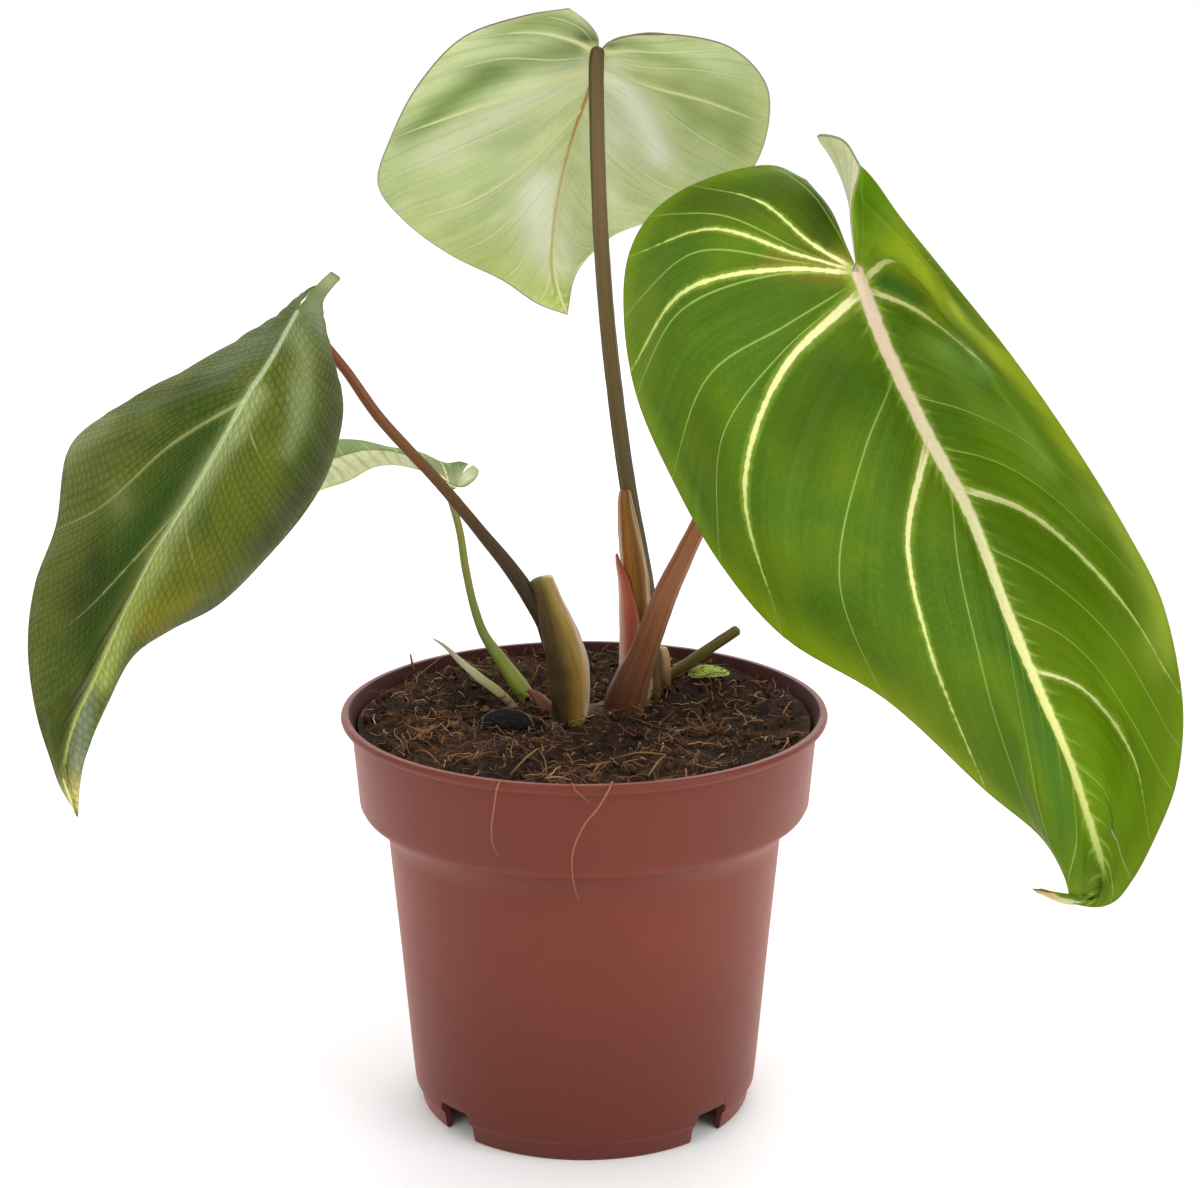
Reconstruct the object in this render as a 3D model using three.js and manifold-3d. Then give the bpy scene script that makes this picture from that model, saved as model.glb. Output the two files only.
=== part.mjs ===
// A heart-leaved philodendron rooted in a plastic nursery pot.
// Millimetres, +Z up. The origin is the centre of the pot's foot, on the table that it stands on.
// The plant leans over the pot's rim: one big blade hangs to the right, one to the left, one spreads
// out behind the pot, and a young one is unfolding on a thin stalk.
import * as THREE from "three";
import { mergeVertices } from "three/addons/utils/BufferGeometryUtils.js";
import Module from "manifold-3d";

const wasm = await Module();
wasm.setup();

// The pot
const RIM_RADIUS = 60;
const POT_HEIGHT = 102;
const FOOT_RADIUS = 41.6;
const WALL = 1.2;
const SHOULDER_HEIGHT = 71.5;
const SHOULDER_RADIUS = 49;
const COLLAR_HEIGHT = 79.5;
const COLLAR_RADIUS = 55.8;
const FLOOR_HEIGHT = 8.6;
const DISH_RADIUS = 12;
const DRAIN = { count: 6, radius: 3, circle: 27 };
const NOTCH = { width: 9.7, height: 8, corner: 0.8, angles: [47, 133, 227, 313] };
const POT_SIDES = 40;

// The soil
const SOIL_TOP = 97.2;
const SOIL_RADIUS = 55.4;
const SOIL_SIDES = 32;
const SOIL_BUMP = 1.1;

// Clearance that keeps each piece apart from the one it rests on or grows from
const GAP = 0.3;
const BLADE_GAP = 0.6;

// The blades
const BLADE_THICKNESS = 0.8;
const YOUNG_THICKNESS = 0.6;
const MIDRIB_SWELL = 1.1;
const VEIN_SWELL = 0.55;
const QUILT = 0.7;

// Each blade hangs from its insertion, the point in the notch where its stalk joins. Its midrib is a
// curve through points in mm from there. On each side of it a fan of ribs runs out to the edge, from
// the notch to the tip. A rib is [where it leaves the midrib, counted in midrib points; how strong a
// vein it is, from 0 to 1; two points on its way; its end on the blade's edge].
const RIGHT_BLADE = {
  insertion: [64.5, -4, 210.5],
  midrib: [
    [0, 0, 0], [6, -3, -16], [16, -7.5, -36.5], [25.5, -14, -53.5], [33.5, -23, -74], [40, -31, -90],
    [47, -38.5, -106], [52.5, -44, -122], [56, -44.5, -132.5], [56, -41.5, -139.5], [50, -38, -143.5],
    [41, -36.5, -140.5],
  ],
  left: [
    [0, 0, [-2.5, 2.5, 5.5], [-6, 7, 13.5], [-11.5, 12.5, 20]],
    [0, 0, [-4.5, 2, 8], [-11, 5.5, 17], [-20, 12.5, 23.5]],
    [0, 0.8, [-11, -0.5, 6.5], [-23, 1, 16], [-39, 10.5, 19]],
    [0, 0, [-13.5, -1.5, 5], [-30.5, -3, 12.5], [-49, 11.5, 11.5]],
    [0, 0.9, [-15, -3, 4.5], [-34, -5.5, 10.5], [-54, 10, 2]],
    [0, 0, [-16.5, -4.5, 3], [-37.5, -8, 5.5], [-55, 6, -12]],
    [0.05, 1, [-20, -6, 0], [-41, -11, -7], [-52, 1.5, -30]],
    [0.12, 0, [-17.5, -9, -11.5], [-34.5, -14, -21.5], [-43.5, -4.5, -49]],
    [0.18, 0, [-18.5, -11, -17.5], [-31.5, -17.5, -34.5], [-32, -10, -68.5]],
    [0.25, 1, [-18.5, -12, -22], [-27, -20.5, -47], [-17, -13.5, -85.5]],
    [1.35, 0, [1, -15.5, -39.5], [-5, -26, -67], [7.5, -17.5, -100]],
    [2.1, 1, [11, -22, -59.5], [15.5, -31.5, -82.5], [31.5, -24, -121]],
    [2.6, 0, [22.5, -22.5, -64.5], [28.5, -34.5, -90], [42.5, -32.5, -128.5]],
    [4, 0, [35, -33.5, -90], [39.5, -42, -111.5], [46, -40.5, -132.5]],
    [6.2, 0, [48.5, -43.5, -116], [49, -45.5, -127.5], [48.5, -41, -138.5]],
    [9, 0, [54, -43.5, -139], [51.5, -41, -141], [49, -38, -143.5]],
  ],
  right: [
    [0, 0, [-1, -2, 7.5], [-2, -5, 16], [-0.5, -8, 25]],
    [0, 0, [-1.5, -1, 8.5], [-3, -1, 19], [-4.5, -5, 31]],
    [0, 0, [-1, 2.5, 9], [-4, 5.5, 20.5], [-10, 1, 31.5]],
    [0, 0, [1, 6, 7.5], [1.5, 10.5, 15.5], [1.5, 6, 23]],
    [0, 0, [4, 7, 6.5], [7.5, 10, 9.5], [9, -2.5, 13]],
    [0, 0, [8, 7, 2.5], [16.5, 8.5, 0], [17.5, -20, 2.5]],
    [0.15, 0.8, [9, 6.5, 1.5], [22.5, 4.5, -11], [31.5, -32, -14.5]],
    [0.25, 0.9, [14, 2.5, -9.5], [31, 1.5, -22.5], [45, -36.5, -33]],
    [1.6, 0, [29, -4, -34], [46, -7.5, -43.5], [58, -42, -53.5]],
    [2.2, 0, [35.5, -7, -45.5], [54, -13.5, -58], [65.5, -46, -68]],
    [2.75, 1, [41, -10.5, -56], [60, -19.5, -72.5], [70, -51.5, -88.5]],
    [3.4, 0, [45.5, -18, -71], [60.5, -25.5, -84], [70, -54.5, -100]],
    [4.1, 0, [49, -24.5, -83.5], [60.5, -31.5, -95.5], [68, -58, -109]],
    [4.9, 0.9, [52, -30, -93.5], [62.5, -36.5, -106.5], [63.5, -59, -121]],
    [6.1, 0, [55.5, -41, -114.5], [58.5, -45.5, -124], [60.5, -54.5, -131.5]],
    [7.6, 0, [57, -46.5, -131.5], [58, -48.5, -135.5], [57.5, -47.5, -140]],
    [9.2, 0, [55, -42, -141], [54, -41, -142.5], [53, -40.5, -143.5]],
  ],
  facing: -1,
  columns: [0.04, 0.17, 0.33, 0.5, 0.67, 0.84, 1],
  rowsPerRib: 2,
};

const LEFT_BLADE = {
  insertion: [-67, -10, 202],
  midrib: [
    [0, 0, 0], [-5.5, -10, -10], [-10.5, -15, -17.5], [-15, -17, -25.5], [-23.5, -19, -39.5],
    [-33, -18.5, -54], [-41, -17.5, -70], [-48, -16.5, -85.5], [-53, -16.5, -96.5], [-55, -17, -107],
    [-53.5, -20, -117],
  ],
  left: [
    [0, 0, [1.5, 6.5, 2], [3, 12.5, 3.5], [4.5, 15.5, 4.5]],
    [0, 0, [0, 4.5, 1], [0, 9.5, 1.5], [0, 13.5, 1]],
    [0, 0, [-3, 1.5, -2], [-5, 7.5, -3], [-7, 13, -5]],
    [0.3, 0, [-8, -1, -6.5], [-13, 4, -8], [-18, 11.5, -11.5]],
    [1.1, 0, [-18.5, -8.5, -16], [-31, -3.5, -20.5], [-45.5, 9, -25]],
    [1.5, 0, [-22.5, -11, -18.5], [-38, -7, -25.5], [-56, 6.5, -33.5]],
    [2, 1, [-28, -13.5, -28], [-44.5, -12.5, -42.5], [-59, -0.5, -51.5]],
    [3, 0, [-33.5, -16.5, -41.5], [-48.5, -14.5, -55], [-64, -4, -65]],
    [4, 0.6, [-38.5, -17, -55.5], [-51.5, -15, -68.5], [-66, -6.5, -79.5]],
    [5.2, 0, [-45.5, -16, -75.5], [-55.5, -15, -88], [-64, -11, -94.5]],
    [6.6, 0, [-51, -16, -90], [-57, -15, -99], [-60.5, -13, -107]],
    [8.3, 0, [-54.5, -17.5, -103.5], [-56.5, -17, -109.5], [-57, -16.5, -112.5]],
  ],
  right: [
    [0, 0, [2.5, 7, 2], [4.5, 12.5, 4], [8, 16.5, 7]],
    [0, 0, [3, 5.5, 1], [4.5, 11.5, 1.5], [5.5, 16, 2.5]],
    [0, 0, [3, 4, -1.5], [4.5, 10.5, -2.5], [4.5, 16.5, -4]],
    [0, 0, [2.5, -0.5, -5.5], [5.5, 6.5, -10], [8, 14.5, -14.5]],
    [0.3, 0, [1.5, -7, -11], [6, 1.5, -18], [9, 14, -25]],
    [0.7, 1, [0.5, -11.5, -15.5], [3.5, -5, -27.5], [6, 11.5, -39]],
    [2, 0, [-7, -16.5, -27.5], [-3, -9, -38.5], [0.5, 8.5, -49]],
    [3, 0.6, [-14, -19.5, -37.5], [-10.5, -14, -48], [-9.5, 3.5, -60.5]],
    [4, 0, [-22, -20.5, -50], [-20.5, -16, -59.5], [-21, -1.5, -71]],
    [5, 0, [-31.5, -20, -63.5], [-31, -15.5, -69.5], [-32, -6, -76]],
    [6, 0, [-40.5, -17, -75], [-40, -14.5, -78], [-40, -10, -81]],
    [7, 0, [-47, -16.5, -88.5], [-46.5, -15, -90.5], [-46.5, -12, -92.5]],
    [8.4, 0, [-51.5, -17.5, -103.5], [-51.5, -16.5, -104], [-51.5, -15.5, -104]],
    [9.2, 0, [-54, -18.5, -111.5], [-53, -18.5, -111], [-53, -17, -111]],
  ],
  facing: -1,
  columns: [0.06, 0.2, 0.36, 0.52, 0.68, 0.84, 1],
  rowsPerRib: 2,
};

const BACK_BLADE = {
  insertion: [3.5, 28, 259],
  midrib: [
    [0, 0, 0], [-2.5, 18.5, -9], [-6.5, 33.5, -21], [-10, 46.5, -35.5], [-12, 54.5, -48],
    [-12.5, 58.5, -59.5], [-11, 60.5, -67.5], [-8.5, 61, -73.5],
  ],
  left: [
    [0, 0, [0, -2, 3.5], [-2.5, -6.5, 7.5], [-7, -9.5, 11]],
    [0, 0, [-2.5, -2, 4.5], [-9, -8, 8], [-17.5, -13, 9.5]],
    [0, 0.8, [-4.5, -0.5, 2.5], [-15, -8, 5.5], [-32, -11.5, 4.5]],
    [0.1, 0, [-9.5, 1.5, -2], [-24, -2.5, -1.5], [-43, -6, -6.5]],
    [0.3, 1, [-13, 6, -8], [-31.5, 2.5, -13.5], [-51, 2.5, -20.5]],
    [0.7, 0, [-16, 12.5, -16], [-34.5, 10, -24], [-55, 10, -32.5]],
    [1.5, 1, [-19, 27, -29.5], [-33.5, 25, -38.5], [-49.5, 21.5, -43]],
    [2.4, 0, [-20.5, 42.5, -43], [-29, 38.5, -50], [-38.5, 33.5, -53.5]],
    [3.6, 0, [-18.5, 51.5, -54.5], [-21.5, 48.5, -59], [-25.5, 43.5, -61.5]],
    [5, 0, [-13.5, 58.5, -64.5], [-14.5, 55.5, -67], [-16.5, 52, -69]],
  ],
  right: [
    [0, 0, [1.5, -2.5, 2], [3.5, -7.5, 3.5], [8.5, -11, 5]],
    [0, 0, [3.5, -3.5, 3], [10, -9.5, 4], [20, -14.5, 5]],
    [0, 0.8, [6.5, -2, 1], [17, -8, 1], [31.5, -11, 2]],
    [0.1, 0, [9.5, 2, -3.5], [24, 1, -4.5], [40.5, -2, -7]],
    [0.3, 1, [11, 7.5, -7.5], [27, 8, -12], [42, 7.5, -17.5]],
    [0.5, 0, [10.5, 13.5, -10.5], [23.5, 15, -20.5], [39, 19, -29.5]],
    [1.5, 1, [3.5, 33, -24.5], [16, 34, -34.5], [30.5, 33, -39.5]],
    [2.6, 0, [-1.5, 46.5, -42], [5.5, 46, -45.5], [13.5, 45.5, -46]],
    [3.7, 0, [-6, 55, -53.5], [-1.5, 54, -54.5], [2.5, 52.5, -51.5]],
    [5, 0, [-10, 59.5, -63], [-7.5, 59.5, -63], [-6, 59, -62]],
  ],
  facing: 1,
  columns: [0.06, 0.2, 0.36, 0.52, 0.68, 0.84, 1],
  rowsPerRib: 2,
};

const YOUNG_BLADE = {
  insertion: [-33.5, 34, 150],
  midrib: [
    [0, 0, 0], [-2.5, -0.5, 2.5], [-7, -1, 5], [-12, -1.5, 6.5], [-16.5, -2.5, 7], [-21, -2.5, 6],
    [-26.5, -3.5, 3], [-32.5, -4, 1], [-38.5, -4.5, -1.5],
  ],
  left: [
    [0, 0, [2, 0.5, 3], [3.5, 1.5, 4.5], [5, 1.5, 5.5]],
    [0, 0, [2.5, -0.5, 2.5], [5, -1, 3.5], [6.5, -3, 5]],
    [0, 0, [2.5, -1.5, 1.5], [4, -4.5, 2.5], [5.5, -7.5, 3.5]],
    [0, 0, [1, -3, 1], [2, -7, 2], [2.5, -10.5, 2.5]],
    [0.4, 0, [-1.5, -3.5, 1.5], [-2, -7.5, 3.5], [-2.5, -11, 5]],
    [1.6, 0, [-5.5, -4, 5], [-6.5, -7.5, 7], [-7.5, -11, 9]],
    [3, 0, [-12, -4.5, 7], [-13, -8, 9], [-13.5, -10.5, 11.5]],
    [4.3, 0, [-18, -5.5, 7], [-19.5, -8, 9.5], [-21, -10.5, 12]],
    [5.5, 0, [-24, -6, 5.5], [-26, -8, 8], [-28, -9.5, 10]],
    [6.8, 0, [-31, -5.5, 3], [-32.5, -8, 5.5], [-34.5, -8.5, 7]],
  ],
  right: [
    [0, 0, [2, 3, 3], [2.5, 4, 4], [3.5, 5.5, 5]],
    [0, 0, [1, 5, 3], [1, 8, 3.5], [1, 10.5, 4.5]],
    [0, 0, [-0.5, 5, 2.5], [-1.5, 9, 3.5], [-2.5, 13.5, 3.5]],
    [0.5, 0, [-2.5, 5, 3.5], [-4, 10.5, 4.5], [-6, 14.5, 4.5]],
    [1.8, 0, [-7.5, 4.5, 6], [-9, 11, 6.5], [-11, 15, 6.5]],
    [3.2, 0, [-13.5, 4, 7], [-15.5, 10.5, 7.5], [-17, 14.5, 7.5]],
    [4.5, 0, [-20, 3, 7.5], [-23, 9.5, 8.5], [-25.5, 14, 9.5]],
    [5.8, 0, [-27, 1.5, 6], [-30, 7.5, 8.5], [-33, 12, 9.5]],
    [7, 0, [-33.5, -1.5, 2.5], [-35.5, 2.5, 5], [-37.5, 6, 6.5]],
  ],
  facing: 1,
  columns: [0.14, 0.42, 0.7, 1],
  rowsPerRib: 1,
};

// Stems, as points on the centre line, each with the stem's radius there: [x, y, z, radius].
// A stalk's last point lies in the midrib that it carries.
const RHIZOME = [
  [-9, -1, 93.5, 4.6], [0, 6, 94.5, 5.4], [9, 14, 94.5, 5.8], [17, 24, 95, 5.4], [21, 31, 96, 3.6],
];
const ROOTS = [
  [[-4, 2, 94, 1.4], [-9, -8, 92, 1.1], [-14, -20, 88, 0.9], [-18, -30, 84, 0.7]],
  [[3, 6, 94, 1.4], [8, -6, 91, 1.2], [12, -18, 86, 1], [18, -28, 78, 0.7]],
  [[9, 16, 94, 1.4], [22, 10, 91, 1.2], [34, 4, 85, 0.9], [40, -4, 76, 0.7]],
  [[12, 20, 94, 1.4], [4, 30, 91, 1.2], [-6, 38, 86, 0.9], [-14, 42, 76, 0.7]],
  [[6, 10, 93, 1.6], [6, 8, 84, 1.3], [2, 6, 70, 1], [4, 2, 52, 0.8]],
];
const RIGHT_STALK = [
  [11.5, 8, 92, 5.6], [12.5, 8, 101.5, 5.2], [15.5, 8, 113, 3.7], [20.5, 7, 129.5, 3], [27, 6, 144.5, 2.25],
  [38, 6, 168, 1.9], [52, 6, 191.5, 1.8], [61, 3, 202.5, 1.8], [66, -5.5, 207.5, 1.8],
];
const BACK_STALK = [
  [17, 23, 91, 3.4], [16.5, 24, 109.5, 2.7], [15.5, 25, 125.5, 2.2], [11, 27, 151, 2.05], [7.5, 28, 176, 2],
  [5, 29, 201, 1.95], [3.5, 29, 228.5, 1.9], [3, 29.5, 249, 1.9], [3, 31.5, 258.5, 1.8],
];
const LEFT_STALK = [
  [-5.5, 0, 92, 2.6], [-6.5, 0, 100, 2.5], [-7.5, 0, 111, 2.4], [-10.5, 1, 120.5, 2.2], [-16, 2, 133.5, 1.95],
  [-25.5, 5, 145.5, 1.5], [-36, 8, 157.5, 1.4], [-50, 11, 172.5, 1.35], [-58.5, 11, 185, 1.25],
  [-65, 4, 194.5, 1.25], [-68.5, -11, 197.5, 1.25],
];
const YOUNG_STALK = [
  [-13, 22, 94, 2.2], [-16.5, 23, 100, 2.2], [-19.5, 24.5, 104, 1.9], [-22.5, 26, 108, 1.55],
  [-26, 28, 113, 1.2], [-28.5, 29.5, 120, 1.05], [-30.5, 31, 129, 1], [-32, 32.5, 139, 0.95],
  [-34.2, 33.8, 147, 0.95], [-35.2, 33.8, 150.4, 0.9],
];
const LEFT_SHEATH = [
  [-3.5, 2, 93, 4.2], [-3.5, 3, 101.5, 4.4], [-4, 3.5, 111, 4.3], [-5.5, 4, 120, 4], [-8, 4.5, 128.5, 3.4],
  [-10.5, 5, 134, 2.7],
];
const BACK_SHEATH = [
  [12.5, 20, 93, 3.9], [12, 20, 111, 3.6], [12, 21, 123.5, 3.2], [11.5, 22.5, 132.5, 2.8], [10.5, 24, 141, 2.2],
  [10, 25.5, 147.5, 1.4], [9.5, 26.5, 150.5, 0.6],
];
const RED_BRACT = [
  [11.5, 15, 98, 3], [11.5, 15.5, 112, 2.8], [11, 16.5, 121, 2.4], [10, 18, 128.5, 1.5], [8.5, 20, 133.5, 0.7],
  [8, 20.5, 136, 0.3],
];
const OLIVE_STUB = [[17.5, 32, 97, 1.6], [22.5, 33, 100.5, 1.5], [31.5, 34.5, 106.5, 1.45], [40, 36, 112, 1.4]];
const PALE_STUB = [[22.5, 26, 95, 2.2], [22, 26.5, 103, 2.1], [21, 27, 107.5, 1.9], [20.5, 27, 109, 1.2]];
const DRY_STRIP = [
  [-17.5, 16.5, 95, 1.2], [-23.5, 19, 100.5, 1.4], [-29, 22, 104.5, 1.3], [-34.5, 25, 109, 0.9],
  [-37.5, 27, 110.5, 0.4],
];
const SMALL_BRACT = [[-9, 9.5, 94.5, 1.9], [-11, 11.5, 98.5, 1.6], [-13.5, 13, 101, 0.5]];

const LOOKS = {
  pot: { color: 0x84443a, roughness: 0.42 },
  soil: { color: 0x33241c, roughness: 1 },
  blade: { color: 0x4f7f1d, roughness: 0.6 },
  paleBlade: { color: 0xb9c98c, roughness: 0.6 },
  rhizome: { color: 0x8a6a4a, roughness: 0.8 },
  pinkStalk: { color: 0x96604a, roughness: 0.6 },
  darkStalk: { color: 0x4a3428, roughness: 0.6 },
  greenStalk: { color: 0x6d8440, roughness: 0.6 },
  oliveSheath: { color: 0x8a7a2c, roughness: 0.7 },
  brownSheath: { color: 0x8c5c34, roughness: 0.7 },
  redBract: { color: 0xa84838, roughness: 0.6 },
  dryStrip: { color: 0xb0a482, roughness: 0.9 },
  palePulp: { color: 0xc89f7c, roughness: 0.8 },
  darkChip: { color: 0x2a2622, roughness: 0.9 },
  greenChip: { color: 0x9dba5c, roughness: 0.7 },
};

// Closed three.js geometry to a solid that can be joined and cut, and back.
function toSolid(geometry) {
  const bare = geometry.clone();
  bare.deleteAttribute("normal");
  bare.deleteAttribute("uv");
  const merged = mergeVertices(bare, 1e-4);
  const corners = merged.index.array;
  const triangles = [];
  for (let i = 0; i < corners.length; i += 3) {
    const [a, b, c] = [corners[i], corners[i + 1], corners[i + 2]];
    if (a !== b && b !== c && c !== a) triangles.push(a, b, c);
  }
  return new wasm.Manifold(new wasm.Mesh({
    numProp: 3,
    vertProperties: Float32Array.from(merged.attributes.position.array),
    triVerts: Uint32Array.from(triangles),
  }));
}

function toGeometry(solid) {
  const mesh = solid.getMesh();
  const geometry = new THREE.BufferGeometry();
  geometry.setAttribute("position", new THREE.BufferAttribute(mesh.vertProperties, 3));
  geometry.setIndex(new THREE.BufferAttribute(mesh.triVerts, 1));
  geometry.computeVertexNormals();
  return geometry;
}

const largestPiece = (solid) => solid.decompose().reduce((a, b) => (b.volume() > a.volume() ? b : a));
const cutAway = (solid, ...tools) => largestPiece(tools.reduce((left, tool) => left.subtract(tool), solid));

// A named mesh with its own material, standing at `origin` in its group.
function piece(name, geometry, look, origin = [0, 0, 0]) {
  geometry.translate(-origin[0], -origin[1], -origin[2]);
  const mesh = new THREE.Mesh(geometry, new THREE.MeshStandardMaterial({ metalness: 0, ...look }));
  mesh.name = name;
  mesh.position.set(...origin);
  return mesh;
}

const throughPoints = (points) => new THREE.CatmullRomCurve3(
  points.map((p) => new THREE.Vector3(p[0], p[1], p[2])), false, "catmullrom", 0.5,
);

// A stem: a straight cylinder bent along its centre line and tapered to its radii. `extra` fattens it
// all round, to make the clearance hole for it, and `flat` squashes its section.
function stem(route, sides, steps, extra = 0, flat = 1) {
  const line = throughPoints(route);
  const radii = throughPoints(route.map((p) => [p[3], 0, 0]));
  const frames = line.computeFrenetFrames(steps);
  const geometry = new THREE.CylinderGeometry(1, 1, 1, sides, steps);
  const position = geometry.attributes.position;
  const spot = new THREE.Vector3();
  for (let i = 0; i < position.count; i += 1) {
    const along = position.getY(i) + 0.5;
    const step = Math.round(along * steps);
    const radius = radii.getPoint(line.getUtoTmapping(along)).x + extra;
    line.getPointAt(along, spot);
    spot.addScaledVector(frames.normals[step], position.getZ(i) * radius);
    spot.addScaledVector(frames.binormals[step], position.getX(i) * radius * flat);
    spot.addScaledVector(frames.tangents[step], along < 0.5 ? -extra : extra);
    position.setXYZ(i, spot.x, spot.y, spot.z);
  }
  return toSolid(geometry);
}

// The blade's middle surface, as shared points and triangles. Points that fall together, as they do
// at the notch and at the tip, become one.
class Sheet {
  constructor() {
    this.points = [];
    this.swell = [];
    this.lift = [];
    this.faces = [];
    this.seen = new Map();
  }

  add(point, swell, lift) {
    const key = [point.x, point.y, point.z].map((c) => c.toFixed(3)).join();
    if (!this.seen.has(key)) {
      this.seen.set(key, this.points.length);
      this.points.push(point);
      this.swell.push(swell);
      this.lift.push(lift);
    }
    return this.seen.get(key);
  }

  face(a, b, c, flip) {
    if (a === b || b === c || c === a) return;
    this.faces.push(flip ? [a, c, b] : [a, b, c]);
  }
}

// One side of a blade: point(s, t) is the place t of the way along rib s, where s counts the ribs
// from the notch and takes every value between them. The last rib is the tip itself.
function bladeSide(midrib, ribs) {
  const last = midrib.points[midrib.points.length - 1].toArray();
  const tipRib = [midrib.points.length - 1, 0, last, last, last];
  const all = [...ribs, tipRib];
  const end = all.length - 1;
  const root = throughPoints(all.map((rib) => [rib[0], 0, 0]));
  const [first, second, edge] = [2, 3, 4].map((k) => throughPoints(all.map((rib) => rib[k])));
  const station = (s) => THREE.MathUtils.clamp(root.getPoint(s / end).x, 0, tipRib[0]);
  const rib = (s) => throughPoints([
    midrib.getPoint(station(s) / tipRib[0]).toArray(),
    ...[first, second, edge].map((curve) => curve.getPoint(s / end).toArray()),
  ]);
  return { all, end, station, rib };
}

// Rows of a blade side: each rib, the rows between ribs, and a close pair beside each strong vein.
function rowsOf(side, perRib) {
  const rows = [];
  const beside = 0.12;
  for (let i = 0; i < side.end; i += 1) {
    const strong = perRib > 1 && side.all[i][1] > 0;
    if (strong) rows.push({ s: i - beside, vein: 0 });
    rows.push({ s: i, vein: side.all[i][1] });
    if (strong) rows.push({ s: i + beside, vein: 0 });
    for (let k = 1; k < perRib; k += 1) rows.push({ s: i + k / perRib, vein: 0 });
  }
  rows.push({ s: side.end, vein: 0 });
  return rows;
}

// How far the blade bulges up between its strong veins, fading towards midrib and edge.
function quiltLift(side, s, t) {
  const veins = side.all.flatMap((rib, i) => (rib[1] > 0 ? [i] : []));
  const borders = [0, ...veins, side.end];
  const next = borders.find((border) => border > s) ?? side.end;
  const before = borders.findLast((border) => border <= s && border < next) ?? 0;
  const across = Math.sin((Math.PI * (s - before)) / Math.max(next - before, 1));
  return QUILT * Math.max(across, 0) * Math.sin(Math.PI * t);
}

function bladeSheet(blade) {
  const sheet = new Sheet();
  const midrib = throughPoints(blade.midrib);
  const lastStation = blade.midrib.length - 1;
  const midribSwell = (station) => MIDRIB_SWELL * (1 - station / lastStation) ** 0.8;
  const sides = [blade.left, blade.right].map((ribs) => bladeSide(midrib, ribs));
  const rows = sides.map((side) => rowsOf(side, blade.rowsPerRib));
  const stations = [...new Set(rows.flatMap((list, k) => list.map((row) => sides[k].station(row.s))))];
  stations.sort((a, b) => a - b);
  const spine = stations.map((u) => sheet.add(midrib.getPoint(u / lastStation), midribSwell(u), 0));
  sides.forEach((side, k) => {
    const flip = (k === 0) === (blade.facing < 0);
    const grid = rows[k].map((row) => {
      const rib = side.rib(row.s);
      return blade.columns.map((t) => {
        const swell = VEIN_SWELL * row.vein * (1 - t) ** 0.6;
        return sheet.add(rib.getPoint(t), swell, quiltLift(side, row.s, t));
      });
    });
    for (let i = 0; i + 1 < grid.length; i += 1) {
      for (let j = 0; j + 1 < blade.columns.length; j += 1) {
        sheet.face(grid[i][j], grid[i + 1][j], grid[i + 1][j + 1], flip);
        sheet.face(grid[i][j], grid[i + 1][j + 1], grid[i][j + 1], flip);
      }
    }
    // The strip between the midrib and the first column, whose points don't pair off one to one
    const inner = rows[k].map((row, i) => ({ at: side.station(row.s), vertex: grid[i][0] }));
    let [i, j] = [0, 0];
    while (i + 1 < inner.length || j + 1 < spine.length) {
      const takeInner = j + 1 === spine.length
        || (i + 1 < inner.length && inner[i + 1].at <= stations[j + 1]);
      if (takeInner) {
        sheet.face(spine[j], inner[i + 1].vertex, inner[i].vertex, flip);
        i += 1;
      } else {
        sheet.face(spine[j], spine[j + 1], inner[i].vertex, flip);
        j += 1;
      }
    }
  });
  return sheet;
}

// Gives the sheet its thickness: a skin above, a skin below with the veins standing out of it, and a
// wall along the edge. `extra` fattens both skins.
function bladeSolid(sheet, thickness, extra = 0) {
  const normals = sheet.points.map(() => new THREE.Vector3());
  const triangle = new THREE.Triangle();
  const facing = new THREE.Vector3();
  sheet.faces.forEach((face) => {
    triangle.set(...face.map((vertex) => sheet.points[vertex]));
    triangle.getNormal(facing).multiplyScalar(triangle.getArea());
    face.forEach((vertex) => normals[vertex].add(facing));
  });
  const skin = (height) => sheet.points.map((point, i) => (
    point.clone().addScaledVector(normals[i].clone().normalize(), height(i))
  ));
  const half = thickness / 2 + extra;
  const above = skin((i) => sheet.lift[i] + half);
  const below = skin((i) => sheet.lift[i] - half - sheet.swell[i]);
  const count = sheet.points.length;
  const directed = new Set(sheet.faces.flatMap(([a, b, c]) => [`${a},${b}`, `${b},${c}`, `${c},${a}`]));
  const walls = [...directed].map((edge) => edge.split(",").map(Number))
    .filter(([a, b]) => !directed.has(`${b},${a}`))
    .flatMap(([a, b]) => [b, a, a + count, b, a + count, b + count]);
  const geometry = new THREE.BufferGeometry();
  const positions = [...above, ...below].flatMap((point) => point.toArray());
  geometry.setAttribute("position", new THREE.Float32BufferAttribute(positions, 3));
  geometry.setIndex([
    ...sheet.faces.flat(),
    ...sheet.faces.flatMap(([a, b, c]) => [a + count, c + count, b + count]),
    ...walls,
  ]);
  return toSolid(geometry);
}

function turned(profile, sides) {
  const lathe = new THREE.LatheGeometry(profile.map(([r, z]) => new THREE.Vector2(r, z)), sides);
  return lathe.rotateX(Math.PI / 2);
}

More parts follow.
